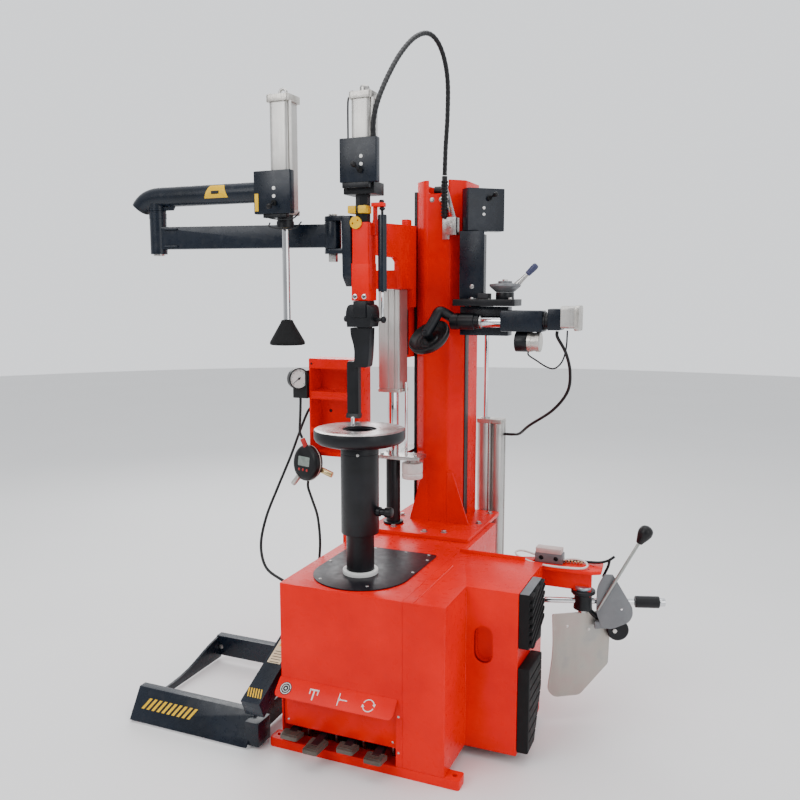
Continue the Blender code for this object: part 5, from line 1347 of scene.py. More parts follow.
def add_tool_head():
    outline = rounded([(-0.11, 1.391), (-0.024, 1.391), (-0.018, 1.432), (-0.024, 1.468), (-0.106, 1.468),
                       (-0.115, 1.44)], [0.002, 0.002, 0.01, 0.014, 0.014, 0.012], 6)
    body = prism(outline, 0.072, upright((0, 0.206, 0), RIGHT), CAST_EDGE)
    slot = box((-0.082, 0.135, 1.38), (-0.036, 0.24, 1.455), SHARP)
    neck = box((-0.083, 0.138, 1.44), (-0.036, 0.202, 1.4797), SOFT_EDGE)
    key = box((-0.083, 0.128, 1.424), (-0.036, 0.142, 1.479), SOFT_EDGE)
    pin_hole = rod((-0.1, ARM_Y, FINGER_AXIS_Z), (-0.02, ARM_Y, FINGER_AXIS_Z), 0.0085)
    hollow = box((-0.082, 0.1355, 1.38), (-0.036, 0.24, 1.4405), SHARP)
    head = join(cut(join(body, neck), slot, hollow, pin_hole), key)
    piece("tool_head_block", head, "burnished", "tool_slide", "tool_head")
    stud = turned([(0.006, -0.005), (0.006, 0.022), (0.01, 0.0225), (0.0115, 0.025), (0.0115, 0.032),
                   (0.0085, 0.0345)], (-0.0165, ARM_Y, 1.416), RIGHT, SMALL)
    knob = turned([(0.005, -0.005), (0.005, 0.006), (0.01, 0.0065), (0.011, 0.009), (0.011, 0.017),
                   (0.009, 0.0185)], (-0.1165, ARM_Y, FINGER_AXIS_Z), (-1, 0, 0), SMALL)
    piece("tool_head_studs", gather([stud, knob]), "burnished", "tool_slide")


def add_tool_finger():
    """The hooked bead tool: its shank, its long blade and the turned tip."""
    tongue = box((-0.08, 0.152, 1.38), (-0.038, 0.188, 1.438), SOFT_EDGE)
    pin = rod((-0.099, ARM_Y, FINGER_AXIS_Z), (-0.021, ARM_Y, FINGER_AXIS_Z), 0.008)
    outline = rounded([(-0.106, 1.388), (-0.03, 1.388), (-0.034, 1.3), (-0.04, 1.252), (-0.092, 1.252),
                       (-0.09, 1.318), (-0.104, 1.362)], [0.004, 0.004, 0.02, 0.01, 0.004, 0.03, 0.02], 8)
    shank = prism(outline, 0.042, upright((0, 0.191, 0), RIGHT), 0.004)
    piece("finger_shank", join(shank, tongue, pin), "burnished", "tool_finger", "tool_finger")
    blade = prism(rounded(rectangle(-0.124, 1.074, -0.08, 1.272), [0.004, 0.004, 0.012, 0.012]), 0.026,
                  upright((0, 0.184, 0), RIGHT), 0.0035)
    tip = prism(rounded([(0.156, 1.09), (0.186, 1.09), (0.1865, 1.074), (0.172, 1.0702), (0.15, 1.0735)],
                        [0.002, 0.006, 0.008, 0.008, 0.002], 6), 0.046, side_profile(-0.125), EDGE)
    piece("finger_blade", join(blade, tip), "burnished", "tool_finger")


def add_gas_spring():
    body = turned([(0.015, 1.5115), (0.015, 1.762), (0.014, 1.766), (0.006, 1.767)], (0.008, ARM_Y, 0))
    piece("gas_spring_barrel", body, "black", "tool_slide", "gas_spring")
    thin = turned(barrel(0.005, 1.425, 1.512, 0.0006), (0.008, ARM_Y, 0), sides=SMALL)
    piece("gas_spring_rod", thin, "chrome", "tool_slide")
    ball = turned([(0.0045, 1.766), (0.0045, 1.78), (0.0095, 1.783), (0.0105, 1.787), (0.006, 1.792)],
                  (0.008, ARM_Y, 0), sides=SMALL)
    top = turned([(0.006, 1.8062), (0.0085, 1.807), (0.009, 1.811), (0.006, 1.815), (0.0, 1.8155)],
                 (0.006, ARM_Y, 0), sides=SMALL)
    piece("gas_spring_ball", gather([ball, top]), "burnished", "tool_slide")


# ---------------------------------------------------------------- helper arm

def add_helper_beam():
    along = (ELBOW - HINGE).normalized()
    length = (ELBOW - HINGE).length
    thickness, low, high = 0.04, 1.662, 1.741
    offset = along.cross(UP) * thickness / 2
    start = HINGE + along * 0.01 - offset
    beam = prism(rounded(rectangle(0, low, length - 0.02, high), 0.004), thickness, upright(start, along),
                 0.0035)
    knuckle = turned(barrel(0.029, 1.6575, 1.7495, SOFT_EDGE), HINGE)
    hole = turned([(0.0105, 1.6), (0.0105, 1.8)], HINGE, sides=SMALL)
    piece("helper_beam_tube", cut(join(beam, knuckle), hole), "black", "helper_beam", "helper_beam")
    end = turned([(0.0285, 1.645), (0.03, 1.6465), (0.03, 1.77), (0.0312, 1.7705), (0.0312, 1.79),
                  (0.03, 1.7905), (0.03, 1.7965), (0.0285, 1.798)], ELBOW)
    end_hole = turned([(0.0125, 1.63), (0.0125, 1.82)], ELBOW, sides=SMALL)
    piece("helper_elbow_barrel", cut(end, end_hole), "black", "helper_beam")
    plates = []
    for z in (low + 0.006, high - 0.012):
        shape = [(length - 0.085, -0.026), (length - 0.034, -0.028), (length - 0.034, 0.028),
                 (length - 0.085, 0.026)]
        matrix = Matrix.Translation(HINGE + UP * z) @ facing(along, UP.cross(along), UP)
        plates.append(prism(shape, 0.006, matrix, THIN_EDGE))
    piece("helper_elbow_plates", gather(plates), "black", "helper_beam")
    cap = turned([(0.019, 1.639), (0.02, 1.64), (0.02, 1.6445), (0.0125, 1.645)], ELBOW)
    piece("helper_elbow_washer", cap, "steel", "helper_beam")
    port = turned([(0.008, 0), (0.0085, 0.001), (0.0085, 0.006), (0.006, 0.0075)],
                  HINGE + along * 0.07 + along.cross(UP) * (thickness / 2 - 0.0003) + UP * 1.7,
                  along.cross(UP), HEXAGON)
    piece("helper_beam_grease_port", port, "steel", "helper_beam")


def add_press_tube():
    y, z, radius = ELBOW.y, 1.846, 0.035
    route = [(-0.899, y, 1.809), (-0.893, y, 1.817), (-0.872, y, 1.833), (-0.842, y, 1.843), (-0.808, y, z),
             (-0.76, y, z), (-0.6, y, z), (PRESS.x - 0.0378, y, z)]
    piece("press_tube_bend", tube(smooth_route(route, 0.008), radius, ROUND), "black", "press_arm",
          "press_tube")
    direction = Vector((-0.66, 0, -0.75)).normalized()
    cap = turned([(0.035, -0.006), (0.034, 0.002), (0.03, 0.006), (0.0, 0.0075)], (-0.8965, y, 1.812),
                 direction)
    piece("press_tube_cap", cap, "plastic", "press_arm")
    boss = turned([(0.03, 1.7983), (0.03, 1.806), (0.0285, 1.807), (0.0285, 1.84)], ELBOW)
    pin = turned([(0.012, 1.655), (0.012, 1.8)], ELBOW, sides=SMALL)
    web = prism([(-0.886, 1.7985), (-0.76, 1.7985), (-0.745, 1.825), (-0.87, 1.825)], 0.01,
                upright((0, y + 0.005, 0), RIGHT), THIN_EDGE)
    piece("press_tube_boss", join(boss, pin, web), "black", "press_arm")
    add_tube_patch(Vector((0, y, z)), radius)
    grip = [(PRESS.x - 0.04, y - 0.045, 1.77), (PRESS.x - 0.037, y - 0.052, 1.756),
            (PRESS.x + 0.01, y - 0.055, 1.748), (PRESS.x + 0.06, y - 0.052, 1.75),
            (PRESS.x + 0.078, y - 0.04, 1.77)]
    lower = [(x, yy + 0.012, zz - 0.03) for x, yy, zz in grip]
    wires = [tube(smooth_route(grip, 0.003), 0.0024, 10), tube(smooth_route(lower, 0.003), 0.0024, 10)]
    piece("press_wire_guard", gather(wires), "burnished", "press_arm")


def add_tube_patch(axis, radius):
    """A plain yellow patch wrapped on the front of the press tube, with a dark bar in it."""
    def wrapped(start, end, low, high, name, look, lift, taper=0.0):
        bm = bmesh.new()
        rows = []
        steps = 14
        for layer in (lift, lift + SKIN):
            grid = []
            for row in range(steps + 1):
                angle = math.radians(low + (high - low) * row / steps)
                inset = taper * row / steps
                line = []
                for x in (start + inset, end - inset):
                    r = radius + layer
                    line.append(bm.verts.new((x, axis.y - r * math.cos(angle),
                                              axis.z + r * math.sin(angle))))
                grid.append(line)
            rows.append(grid)
        for row in range(steps):
            bm.faces.new((rows[1][row][0], rows[1][row][1], rows[1][row + 1][1], rows[1][row + 1][0]))
            bm.faces.new((rows[0][row][0], rows[0][row + 1][0], rows[0][row + 1][1], rows[0][row][1]))
            for side in (0, 1):
                bm.faces.new((rows[0][row][side], rows[1][row][side], rows[1][row + 1][side],
                              rows[0][row + 1][side]))
        for row in (0, steps):
            bm.faces.new((rows[0][row][0], rows[0][row][1], rows[1][row][1], rows[1][row][0]))
        piece(name, as_object(bm), look, "press_arm")

    wrapped(-0.602, -0.505, -26, 52, "press_tube_patch", "yellow", 0.0001, 0.02)
    wrapped(-0.572, -0.54, -4, 14, "press_tube_patch_bar", "plastic", 0.0004)


def add_press_cylinder():
    centre = (PRESS.x, PRESS.y)
    piece("press_cylinder_barrel", square_barrel(centre, 0.037, 1.781, 2.1285), "extrusion", "press_arm",
          "press_cylinder")
    lower = end_plate(centre, 0.0385, 1.765, 1.7815)
    upper = end_plate(centre, 0.043, 2.128, 2.151)
    nose = turned([(0.028, 1.7225), (0.0295, 1.724), (0.0295, 1.745), (0.027, 1.746), (0.027, 1.766)],
                  PRESS, sides=ROUND)
    hole = turned([(0.0135, 1.7), (0.0135, 1.8)], PRESS)
    second_hole = twin(hole)
    piece("press_cylinder_nose", cut(nose, second_hole), "burnished", "press_arm")
    piece("press_cylinder_caps", gather([cut(lower, hole), upper]), "alloy", "press_arm")
    piece("press_cylinder_screws", gather(corner_screws(centre, 0.031, 2.1505)), "steel", "press_arm")
    eye_path = [Vector((PRESS.x + 0.0125 * math.cos(math.radians(a)), PRESS.y,
                        2.1615 + 0.0125 * math.sin(math.radians(a)))) for a in range(-60, 241, 10)]
    piece("press_cylinder_eye", tube(eye_path, 0.005, 14), "steel", "press_arm")
    # A white tube down the barrel's right front corner: its white is a painted reflection, the pale light
    # that the barrel's side catches.
    pale = turned(barrel(0.0045, 1.782, 2.129, HAIR_EDGE), (PRESS.x + 0.0425, PRESS.y - 0.03, 0),
                  sides=SMALL)
    piece("press_cylinder_side_tube", pale, "cable", "press_arm")
    gland = turned([(0.0136, 1.718), (0.0185, 1.7182), (0.0185, 1.7225), (0.0136, 1.7228)], PRESS)
    piece("press_cylinder_gland", gland, "brass", "press_arm")


def add_press_control_box():
    control_box("press_box", (-0.38, -0.008, 1.766), (-0.241, 0.0212, 1.906), "press_arm",
                "press_control_box", ((-0.302, 1.822), (-0.302, 1.848)))
    strip = prism(rectangle(-0.376, 1.775, -0.362, 1.832), SKIN, upright((0, -0.008, 0), RIGHT))
    piece("press_box_strip", strip, "yellow", "press_arm")
    bracket = box((-0.35, 0.0, 1.754), (-0.262, 0.0212, 1.7665), EDGE)
    piece("press_box_bracket", bracket, "burnished", "press_arm")


def add_press_rod():
    shaft = turned([(0.0118, 1.4153), (0.013, 1.4165), (0.013, 2.08)], PRESS, sides=ROUND)
    piston = turned([(0.0298, 2.0805), (0.0302, 2.0815), (0.0302, 2.107), (0.0298, 2.108)], PRESS)
    piece("press_rod_bar", gather([shaft, piston]), "chrome", "press_rod", "press_rod")
    cone = turned([(0.054, 1.33), (0.0585, 1.331), (0.06, 1.334), (0.06, 1.34), (0.0585, 1.343),
                   (0.0225, 1.406), (0.0205, 1.412), (0.018, 1.415)], PRESS)
    hollow = turned([(0.048, 1.32), (0.048, 1.336), (0.01, 1.356)], PRESS)
    piece("press_cone_rubber", cut(cone, hollow), "rubber", "press_rod", "press_cone")


def add_lever(name, face_point, face_normal, direction, body, node):
    face_normal = Vector(face_normal).normalized()
    direction = Vector(direction).normalized()
    root = Vector(face_point) + face_normal * 0.0003
    tip = root + direction * 0.036
    collar = turned([(0.0015, 0.0), (0.0085, 0.002), (0.0092, 0.003), (0.0092, 0.0085), (0.008, 0.01)],
                    root, face_normal)
    piece(name + "_boot", collar, "rubber", body, node)
    stalk = rod(root + face_normal * 0.006, tip, 0.0042, SMALL, THIN_EDGE)
    piece(name + "_stalk", stalk, "burnished", body)
    ball = turned([(0.0045, -0.011), (0.0068, -0.009), (0.0088, -0.003), (0.0092, 0.002), (0.008, 0.007),
                   (0.0045, 0.0098), (0.0, 0.0102)], tip, direction, SMALL)
    piece(name + "_grip", ball, "plastic", body)


def add_levers():
    add_lever("head_control", (-0.04, 0.104, 1.905), FORWARD, (-0.35, -0.8, 0.45), "head_lever",
              "head_lever")
    add_lever("press_control", (-0.3, -0.008, 1.8), FORWARD, (0.0, -0.9, -0.35), "press_lever",
              "press_lever")
    along = DISC_BOX_DIRECTION
    face = Vector((along.y, -along.x, 0.0))
    middle = DISC_BOX_CORNER + along * 0.086 + UP * 1.86
    add_lever("disc_control", middle, face, face + Vector((0.3, 0.26, 0.35)), "disc_lever", "disc_lever")


# ---------------------------------------------------------------- bead disc arm

def add_disc_carriage():
    left = COLUMN_RIGHT + 0.0043
    channel = box((left, 0.605, 1.478), (0.172, 0.835, 1.738), SOFT_EDGE)
    wing = box((0.168, 0.607, 1.486), (0.2, 0.66, 1.737), SOFT_EDGE)
    plate = prism(rounded(rectangle(left - 0.008, 0.54, 0.367, 0.66), 0.012), 0.025, level(1.458),
                  SOFT_EDGE)
    strap = box((left, 0.76, 1.345), (0.172, 0.945, 1.48), SOFT_EDGE)
    post = turned(barrel(0.034, 1.482, 1.5085, SOFT_EDGE), CLAMP_AXIS)
    piece("disc_carriage_body", join(channel, wing, plate, strap, post), "burnished", "disc_slide",
          "disc_carriage")
    panel = box((left, 0.6035, 1.486), (0.232, 0.6055, 1.7365), HAIR_EDGE)
    piece("disc_carriage_panel", panel, "black", "disc_slide")
    shaft = turned(barrel(0.01, 0.6, 1.35, THIN_EDGE), REAR_ROD)
    piece("disc_carriage_rod", shaft, "chrome", "disc_slide")
    bolts = bolt_head((0.186, 0.6035, 1.53), FORWARD, 0.0058, 0.0045)
    for x, y in ((0.2, 0.56), (0.262, 0.56), (0.348, 0.556), (0.2, 0.64)):
        bolts += bolt_head((x, y, 1.483), UP, 0.0068, 0.0055)
    piece("disc_carriage_bolts", gather(bolts), "steel", "disc_slide")
    block = box((0.225, 0.548, 1.4835), (0.268, 0.59, 1.505), CAST_EDGE)
    piece("disc_clamp_block", block, "iron", "disc_slide")


def add_disc_housing():
    y = SLIDE_Y
    block = box((0.141, 0.597, 1.346), (0.33, 0.657, 1.4547), CAST_EDGE)
    tube_part = box((0.318, y - 0.035, 1.366), (0.475, y + 0.037, 1.443), 0.005)
    bore = rod((0.25, y, SLIDE_Z), (0.515, y, SLIDE_Z), 0.0225)
    piece("disc_housing_block", cut(join(block, tube_part), bore), "black", "disc_slide",
          "disc_arm_housing")
    fitting = turned([(0.0232, 0.0), (0.033, 0.0004), (0.034, 0.002), (0.034, 0.008), (0.03, 0.009),
                      (0.03, 0.014), (0.0335, 0.015), (0.034, 0.018), (0.033, 0.02), (0.0232, 0.0204)],
                     (0.4745, y, 1.405), RIGHT)
    socket = rod((0.468, y, SLIDE_Z), (0.512, y, SLIDE_Z), 0.0232)
    second_socket = twin(socket)
    piece("disc_arm_couplings", cut(fitting, socket), "burnished", "disc_slide")
    black_part = box((0.4945, y - 0.04, 1.3735), (0.541, y + 0.04, 1.45), 0.004)
    piece("disc_lock_block", cut(black_part, second_socket), "black", "disc_slide")
    body = prism(rounded(rectangle(y - 0.04, 1.38, y + 0.04, 1.46), 0.014, 8), 0.049, side_profile(0.541),
                 SOFT_EDGE)
    end_plate_part = prism(rounded(rectangle(y - 0.042, 1.372, y + 0.042, 1.462), 0.014, 8), 0.017,
                           side_profile(0.5895), CAST_EDGE)
    piece("disc_lock_cylinder", body, "extrusion", "disc_slide")
    piece("disc_lock_end", end_plate_part, "alloy", "disc_slide")
    black_half = turned(barrel(0.037, 0.0, 0.046, SOFT_EDGE), (0.372, y, 1.3285), RIGHT)
    ring = turned([(0.034, 0.0), (0.0362, 0.0004), (0.0365, 0.002), (0.0365, 0.015), (0.034, 0.016),
                   (0.034, 0.03), (0.0365, 0.031), (0.0365, 0.044), (0.034, 0.046)], (0.418, y, 1.3285),
                  RIGHT)
    piece("disc_actuator_body", black_half, "burnished", "disc_slide")
    piece("disc_actuator_cap", ring, "alloy", "disc_slide")


def add_disc_shaft():
    """The chrome shaft, its black sleeve and the thick neck that bends over the disc."""
    y = SLIDE_Y
    slide = rod((0.228, y, SLIDE_Z), (0.448, y, SLIDE_Z), 0.0218, ROUND)
    piece("disc_arm_rod", slide, "chrome", "disc_shaft", "disc_arm_shaft")
    body = turned([(0.0285, 0.0), (0.031, 0.001), (0.031, 0.03), (0.029, 0.031), (0.029, 0.035),
                   (0.031, 0.036), (0.031, 0.092), (0.027, 0.094), (0.027, 0.11), (0.025, 0.112)],
                  (0.12, y, SLIDE_Z), RIGHT)
    piece("disc_arm_sleeve", body, "burnished", "disc_shaft")
    ring = turned([(0.022, 0.0), (0.0262, 0.0004), (0.0262, 0.006), (0.022, 0.0064)], (0.2345, y, SLIDE_Z),
                  RIGHT)
    piece("disc_arm_wiper", ring, "steel", "disc_shaft")
    end = DISC_CENTRE + DISC_AXIS * 0.018
    bend = [Vector((0.15, y, SLIDE_Z + 0.002)), Vector((0.122, y - 0.004, SLIDE_Z + 0.014)),
            Vector((0.098, y - 0.02, SLIDE_Z + 0.031)), DISC_ELBOW, DISC_ELBOW.lerp(end, 0.35),
            DISC_ELBOW.lerp(end, 0.7), end]
    neck = tube(smooth_route([tuple(spot) for spot in bend], 0.006), 0.0198, MEDIUM)
    foot = turned([(0.0, -0.017), (0.012, -0.015), (0.0185, -0.008), (0.02, 0.0), (0.019, 0.012),
                   (0.0165, 0.016), (0.0155, 0.0272)], end, -DISC_AXIS)
    pin = rod(end, DISC_CENTRE - DISC_AXIS * 0.021, 0.008)
    piece("disc_arm_neck", join(neck, foot, pin), "burnished", "disc_shaft")


def add_bead_disc():
    """A black dish, hollow on the side of its arm, with a grooved floor and a thick rim."""
    dish = turned([(0.03, -0.034), (0.054, -0.0315), (0.07, -0.024), (0.079, -0.015), (0.083, -0.007),
                   (0.0835, 0.0015), (0.0815, 0.005), (0.0775, 0.006), (0.0745, 0.003), (0.07, -0.0045),
                   (0.06, -0.0095), (0.059, -0.0085), (0.056, -0.0095), (0.055, -0.011), (0.046, -0.014),
                   (0.045, -0.0125), (0.0425, -0.0125), (0.0415, -0.0143), (0.032, -0.0143),
                   (0.029, -0.011), (0.0265, -0.0098)], DISC_CENTRE, DISC_AXIS, WIDE)
    hole = turned([(0.0085, -0.022), (0.0085, 0.01)], DISC_CENTRE, DISC_AXIS, SMALL)
    piece("bead_disc_dish", cut(dish, hole), "plastic", "bead_disc", "bead_disc")


def add_disc_control_box():
    along, corner = DISC_BOX_DIRECTION, DISC_BOX_CORNER
    inward = Vector((-along.y, along.x, 0.0))
    outline = [corner + along * w + inward * d for w, d in ((0, 0), (0.152, 0), (0.152, 0.055), (0, 0.055))]
    shell = prism(rounded([(p.x, p.y) for p in outline], 0.004), 0.1587, level(1.7383), CAST_EDGE)
    piece("disc_box_shell", shell, "black", "disc_slide", "disc_control_box")
    ports = []
    for z in (1.8, 1.824):
        ports.append(turned([(0.0056, -0.0004), (0.0056, 0.002), (0.003, 0.0028)],
                            corner + along * 0.066 + UP * z, -inward, SMALL))
    piece("disc_box_ports", gather(ports), "white", "disc_slide")


def add_clamp_lever():
    """The grey clamp cone on its post, with a tapered lever and a blue grip."""
    axis = CLAMP_AXIS
    hub = turned([(0.03, 1.5088), (0.034, 1.5096), (0.052, 1.525), (0.058, 1.531), (0.0585, 1.535),
                  (0.057, 1.539), (0.03, 1.542), (0.0265, 1.543), (0.026, 1.549), (0.024, 1.55),
                  (0.0, 1.5502)], axis, sides=WIDE)
    piece("clamp_hub", hub, "sector", "clamp_lever", "clamp_lever")
    nut = turned([(0.0095, 1.549), (0.0105, 1.5496), (0.0105, 1.556), (0.009, 1.5566)], axis, sides=HEXAGON)
    piece("clamp_hub_nut", nut, "steel", "clamp_lever")
    start = axis + Vector((0.036, 0, 1.528))
    end = axis + Vector((0.088, 0.004, 1.58))
    direction = (end - start).normalized()
    length = (end - start).length
    arm = turned([(0.012, 0.0), (0.0115, 0.012), (0.0085, length * 0.6), (0.007, length)], start, direction)
    piece("clamp_lever_arm", arm, "steel", "clamp_lever")
    grip = turned([(0.0085, -0.008), (0.0105, -0.006), (0.0115, 0.01), (0.0125, 0.026), (0.0115, 0.036),
                   (0.008, 0.0405), (0.0, 0.042)], end, direction)
    piece("clamp_lever_grip", grip, "handle_blue", "clamp_lever")


# ---------------------------------------------------------------- wheel lift

def add_lift_arm():
    """The sloping arm, cut square at its lower end, with its pivot tube and labels."""
    along = (LIFT_END - LIFT_PIVOT).normalized()
    normal = Vector((0, -along.z, along.y))
    half = 0.033
    tip = LIFT_END - along * 0.022
    corners = []
    for spot, side in ((LIFT_PIVOT, 1), (tip, 1), (tip, -1), (LIFT_PIVOT, -1)):
        corner = spot + normal * half * side
        corners.append((corner.y, corner.z))
    beam = prism(corners, 0.072, side_profile(-0.31), CAST_EDGE)
    pivot = rod((-0.3095, LIFT_PIVOT.y, LIFT_PIVOT.z), (CABINET_LEFT - 0.0003, LIFT_PIVOT.y, LIFT_PIVOT.z),
                0.034, ROUND)
    piece("lift_arm_beam", join(beam, pivot), "black", "lift_arm", "lift_arm")
    upward = normal if normal.z > 0 else -normal
    across = Vector(RIGHT)
    middle = -0.274

    def flat_on_top(centre_share, length, width, lift, name, look):
        spot = LIFT_PIVOT.lerp(LIFT_END, centre_share) + upward * (half + lift)
        matrix = Matrix.Translation((middle, spot.y, spot.z)) @ facing(across, upward.cross(across), upward)
        outline = rectangle(-width / 2, -length / 2, width / 2, length / 2)
        piece(name, prism(outline, SKIN, matrix), look, "lift_arm")

    flat_on_top(0.42, 0.13, 0.05, 0.0, "lift_arm_patch", "cream")
    flat_on_top(0.37, 0.03, 0.03, SKIN, "lift_arm_patch_mark", "yellow")
    for index in range(5):
        flat_on_top(0.455 + index * 0.026, 0.0025, 0.036, SKIN, "lift_arm_patch_line_%d" % index, "plastic")
    spot = LIFT_PIVOT.lerp(LIFT_END, 0.86) + upward * half
    place = Matrix.Translation((middle, spot.y, spot.z)) @ facing(across, upward.cross(across), upward)
    bars = []
    for index in range(6):
        x = -0.022 + index * 0.0095
        bars.append(prism([(x, -0.017), (x + 0.0045, -0.017), (x - 0.0075, 0.017), (x - 0.012, 0.017)],
                          SKIN, place))
    piece("lift_arm_hazard_bars", gather(bars), "yellow", "lift_arm")


def add_lift_platform():
    right = -0.3106
    front = prism([(-0.24, 0.008), (-0.18, 0.107), (-0.15, 0.107), (-0.15, 0.101), (-0.176, 0.101),
                   (-0.232, 0.008)], 0.484, side_profile(-0.795), 0.0012)
    left = prism([(-0.22, 0.01), (0.31, 0.01), (0.31, 0.104), (0.25, 0.092), (0.2, 0.078), (0.15, 0.062),
                  (0.1, 0.048), (0.05, 0.04), (0.0, 0.036), (-0.222, 0.03)], 0.01, side_profile(-0.8),
                 0.0012)
    rear = box((-0.8, 0.296, 0.024), (right, 0.303, 0.106), 0.0012)
    lip = box((-0.8, 0.296, 0.1), (right, 0.33, 0.106), 0.0012)
    cheek = prism(rounded([(-0.176, 0.092), (0.303, 0.085), (0.303, 0.025), (-0.176, 0.01)], 0.004, 6),
                  0.016, side_profile(right - 0.016), SOFT_EDGE)
    block = box((right - 0.012, -0.226, 0.012), (-0.27, -0.15, 0.094), CAST_EDGE)
    piece("lift_frame", join(front, left, rear, lip, cheek, block), "black", "lift_platform",
          "lift_platform")
    top = Vector((0, -0.18, 0.107))
    low = Vector((0, -0.24, 0.008))
    rise = (top - low).normalized()
    side = Vector(RIGHT)
    outward = side.cross(rise)
    place = Matrix.Translation((top + low) / 2) @ facing(side, rise, outward)
    add_hazard_bars("front_hazard_bars", place @ Matrix.Translation((-0.64, 0.006, 0.0)), 0.215, 0.038, 10)
    bolts = []
    for x in (-0.78, -0.345):
        bolts += bolt_head((x, 0.296, 0.06), FORWARD, 0.007, 0.005)
    piece("lift_frame_bolts", gather(bolts), "steel", "lift_platform")


def add_hazard_bars(name, place, length, height, bars):
    """A row of yellow bars, each leaning to the right at its top."""
    half, tall, lean = length / 2, height / 2, height * 0.32
    step = length / bars
    solids = []
    for index in range(bars):
        x = -half + index * step
        outline = [(x - lean, -tall), (x - lean + step * 0.52, -tall), (x + lean + step * 0.52, tall),
                   (x + lean, tall)]
        solids.append(prism(outline, SKIN, place))
    piece(name, gather(solids), "yellow", "lift_platform")


# ---------------------------------------------------------------- bead breaker

def add_breaker_arm():
    plate = prism(rounded([(0.462, 0.352), (0.7, 0.352), (0.735, 0.372), (0.728, 0.468), (0.5, 0.452),
                           (0.446, 0.43), (0.446, 0.366)], 0.008), 0.012, level(0.548), 0.0018)
    web = box((0.48, 0.388, 0.478), (0.7, 0.402, 0.55))
    pivot = turned(barrel(0.03, 0.4, 0.552, SOFT_EDGE), BREAKER_HINGE)
    lower = box((0.64, 0.375, 0.462), (0.7, 0.415, 0.482))
    start = SHOVEL_AXIS - ROD_DIRECTION * 0.2 + UP * ROD_HEIGHT
    end = SHOVEL_AXIS + ROD_DIRECTION * 0.2 + UP * ROD_HEIGHT
    bore = rod(start, end, 0.0108)
    second_bore = twin(bore)
    pin_hole = turned([(0.0105, 0.4), (0.0105, 0.428)], SHOVEL_AXIS, sides=SMALL)
    piece("breaker_arm_plate", cut(join(plate, web, pivot, lower), bore), "red", "breaker_arm",
          "breaker_arm")
    boss = turned([(0.032, 0.412), (0.033, 0.4135), (0.031, 0.44), (0.03, 0.462), (0.04, 0.468),
                   (0.042, 0.47), (0.042, 0.478), (0.04, 0.48), (0.027, 0.4806)], SHOVEL_AXIS)
    notch = prism(rectangle(0.0285, 0.464, 0.1, 0.6), 0.1,
                  upright(SHOVEL_AXIS + ROD_SIDE * 0.0208, ROD_DIRECTION))
    piece("breaker_boss", cut(boss, second_bore, pin_hole, notch), "burnished", "breaker_arm")
    cap = turned([(0.02, 0.4804), (0.027, 0.481), (0.028, 0.4825), (0.028, 0.49), (0.0265, 0.4925),
                  (0.0, 0.4932)], SHOVEL_AXIS)
    piece("breaker_pivot_cap", cap, "blue_steel", "breaker_arm")
    hinge_cap = turned([(0.012, 0.56), (0.018, 0.56), (0.019, 0.5612), (0.019, 0.565), (0.0175, 0.5665),
                        (0.0, 0.5668)], BREAKER_HINGE)
    piece("breaker_hinge_cap", hinge_cap, "red", "breaker_arm")
    marks = [turned([(0.0, 0.0), (0.0034, 0.0), (0.0034, 0.0006), (0.0, 0.0008)], (x, y, 0.56), UP, TINY)
             for x, y in ((0.7, 0.42), (0.69, 0.38))]
    piece("breaker_plate_plugs", gather(marks), "iron", "breaker_arm")
    roller = turned([(0.012, 0.0), (0.034, 0.001), (0.038, 0.005), (0.038, 0.019), (0.034, 0.023),
                     (0.012, 0.024)], SHOVEL_AXIS + ROD_DIRECTION * 0.124 + UP * 0.334 + ROD_SIDE * 0.004,
                    -ROD_SIDE)
    nut = turned([(0.0, -0.001), (0.0075, -0.0008), (0.008, 0.006), (0.0, 0.0064)],
                 SHOVEL_AXIS + ROD_DIRECTION * 0.112 + UP * 0.334 + ROD_SIDE * 0.0035, ROD_SIDE, HEXAGON)
    arm = rod(SHOVEL_AXIS + UP * 0.418 - ROD_SIDE * 0.008,
              SHOVEL_AXIS + ROD_DIRECTION * 0.112 + UP * 0.334 - ROD_SIDE * 0.008, 0.01)
    piece("breaker_roller", join(roller, arm), "burnished", "breaker_arm")
    piece("breaker_roller_nut", nut, "cable", "breaker_arm")


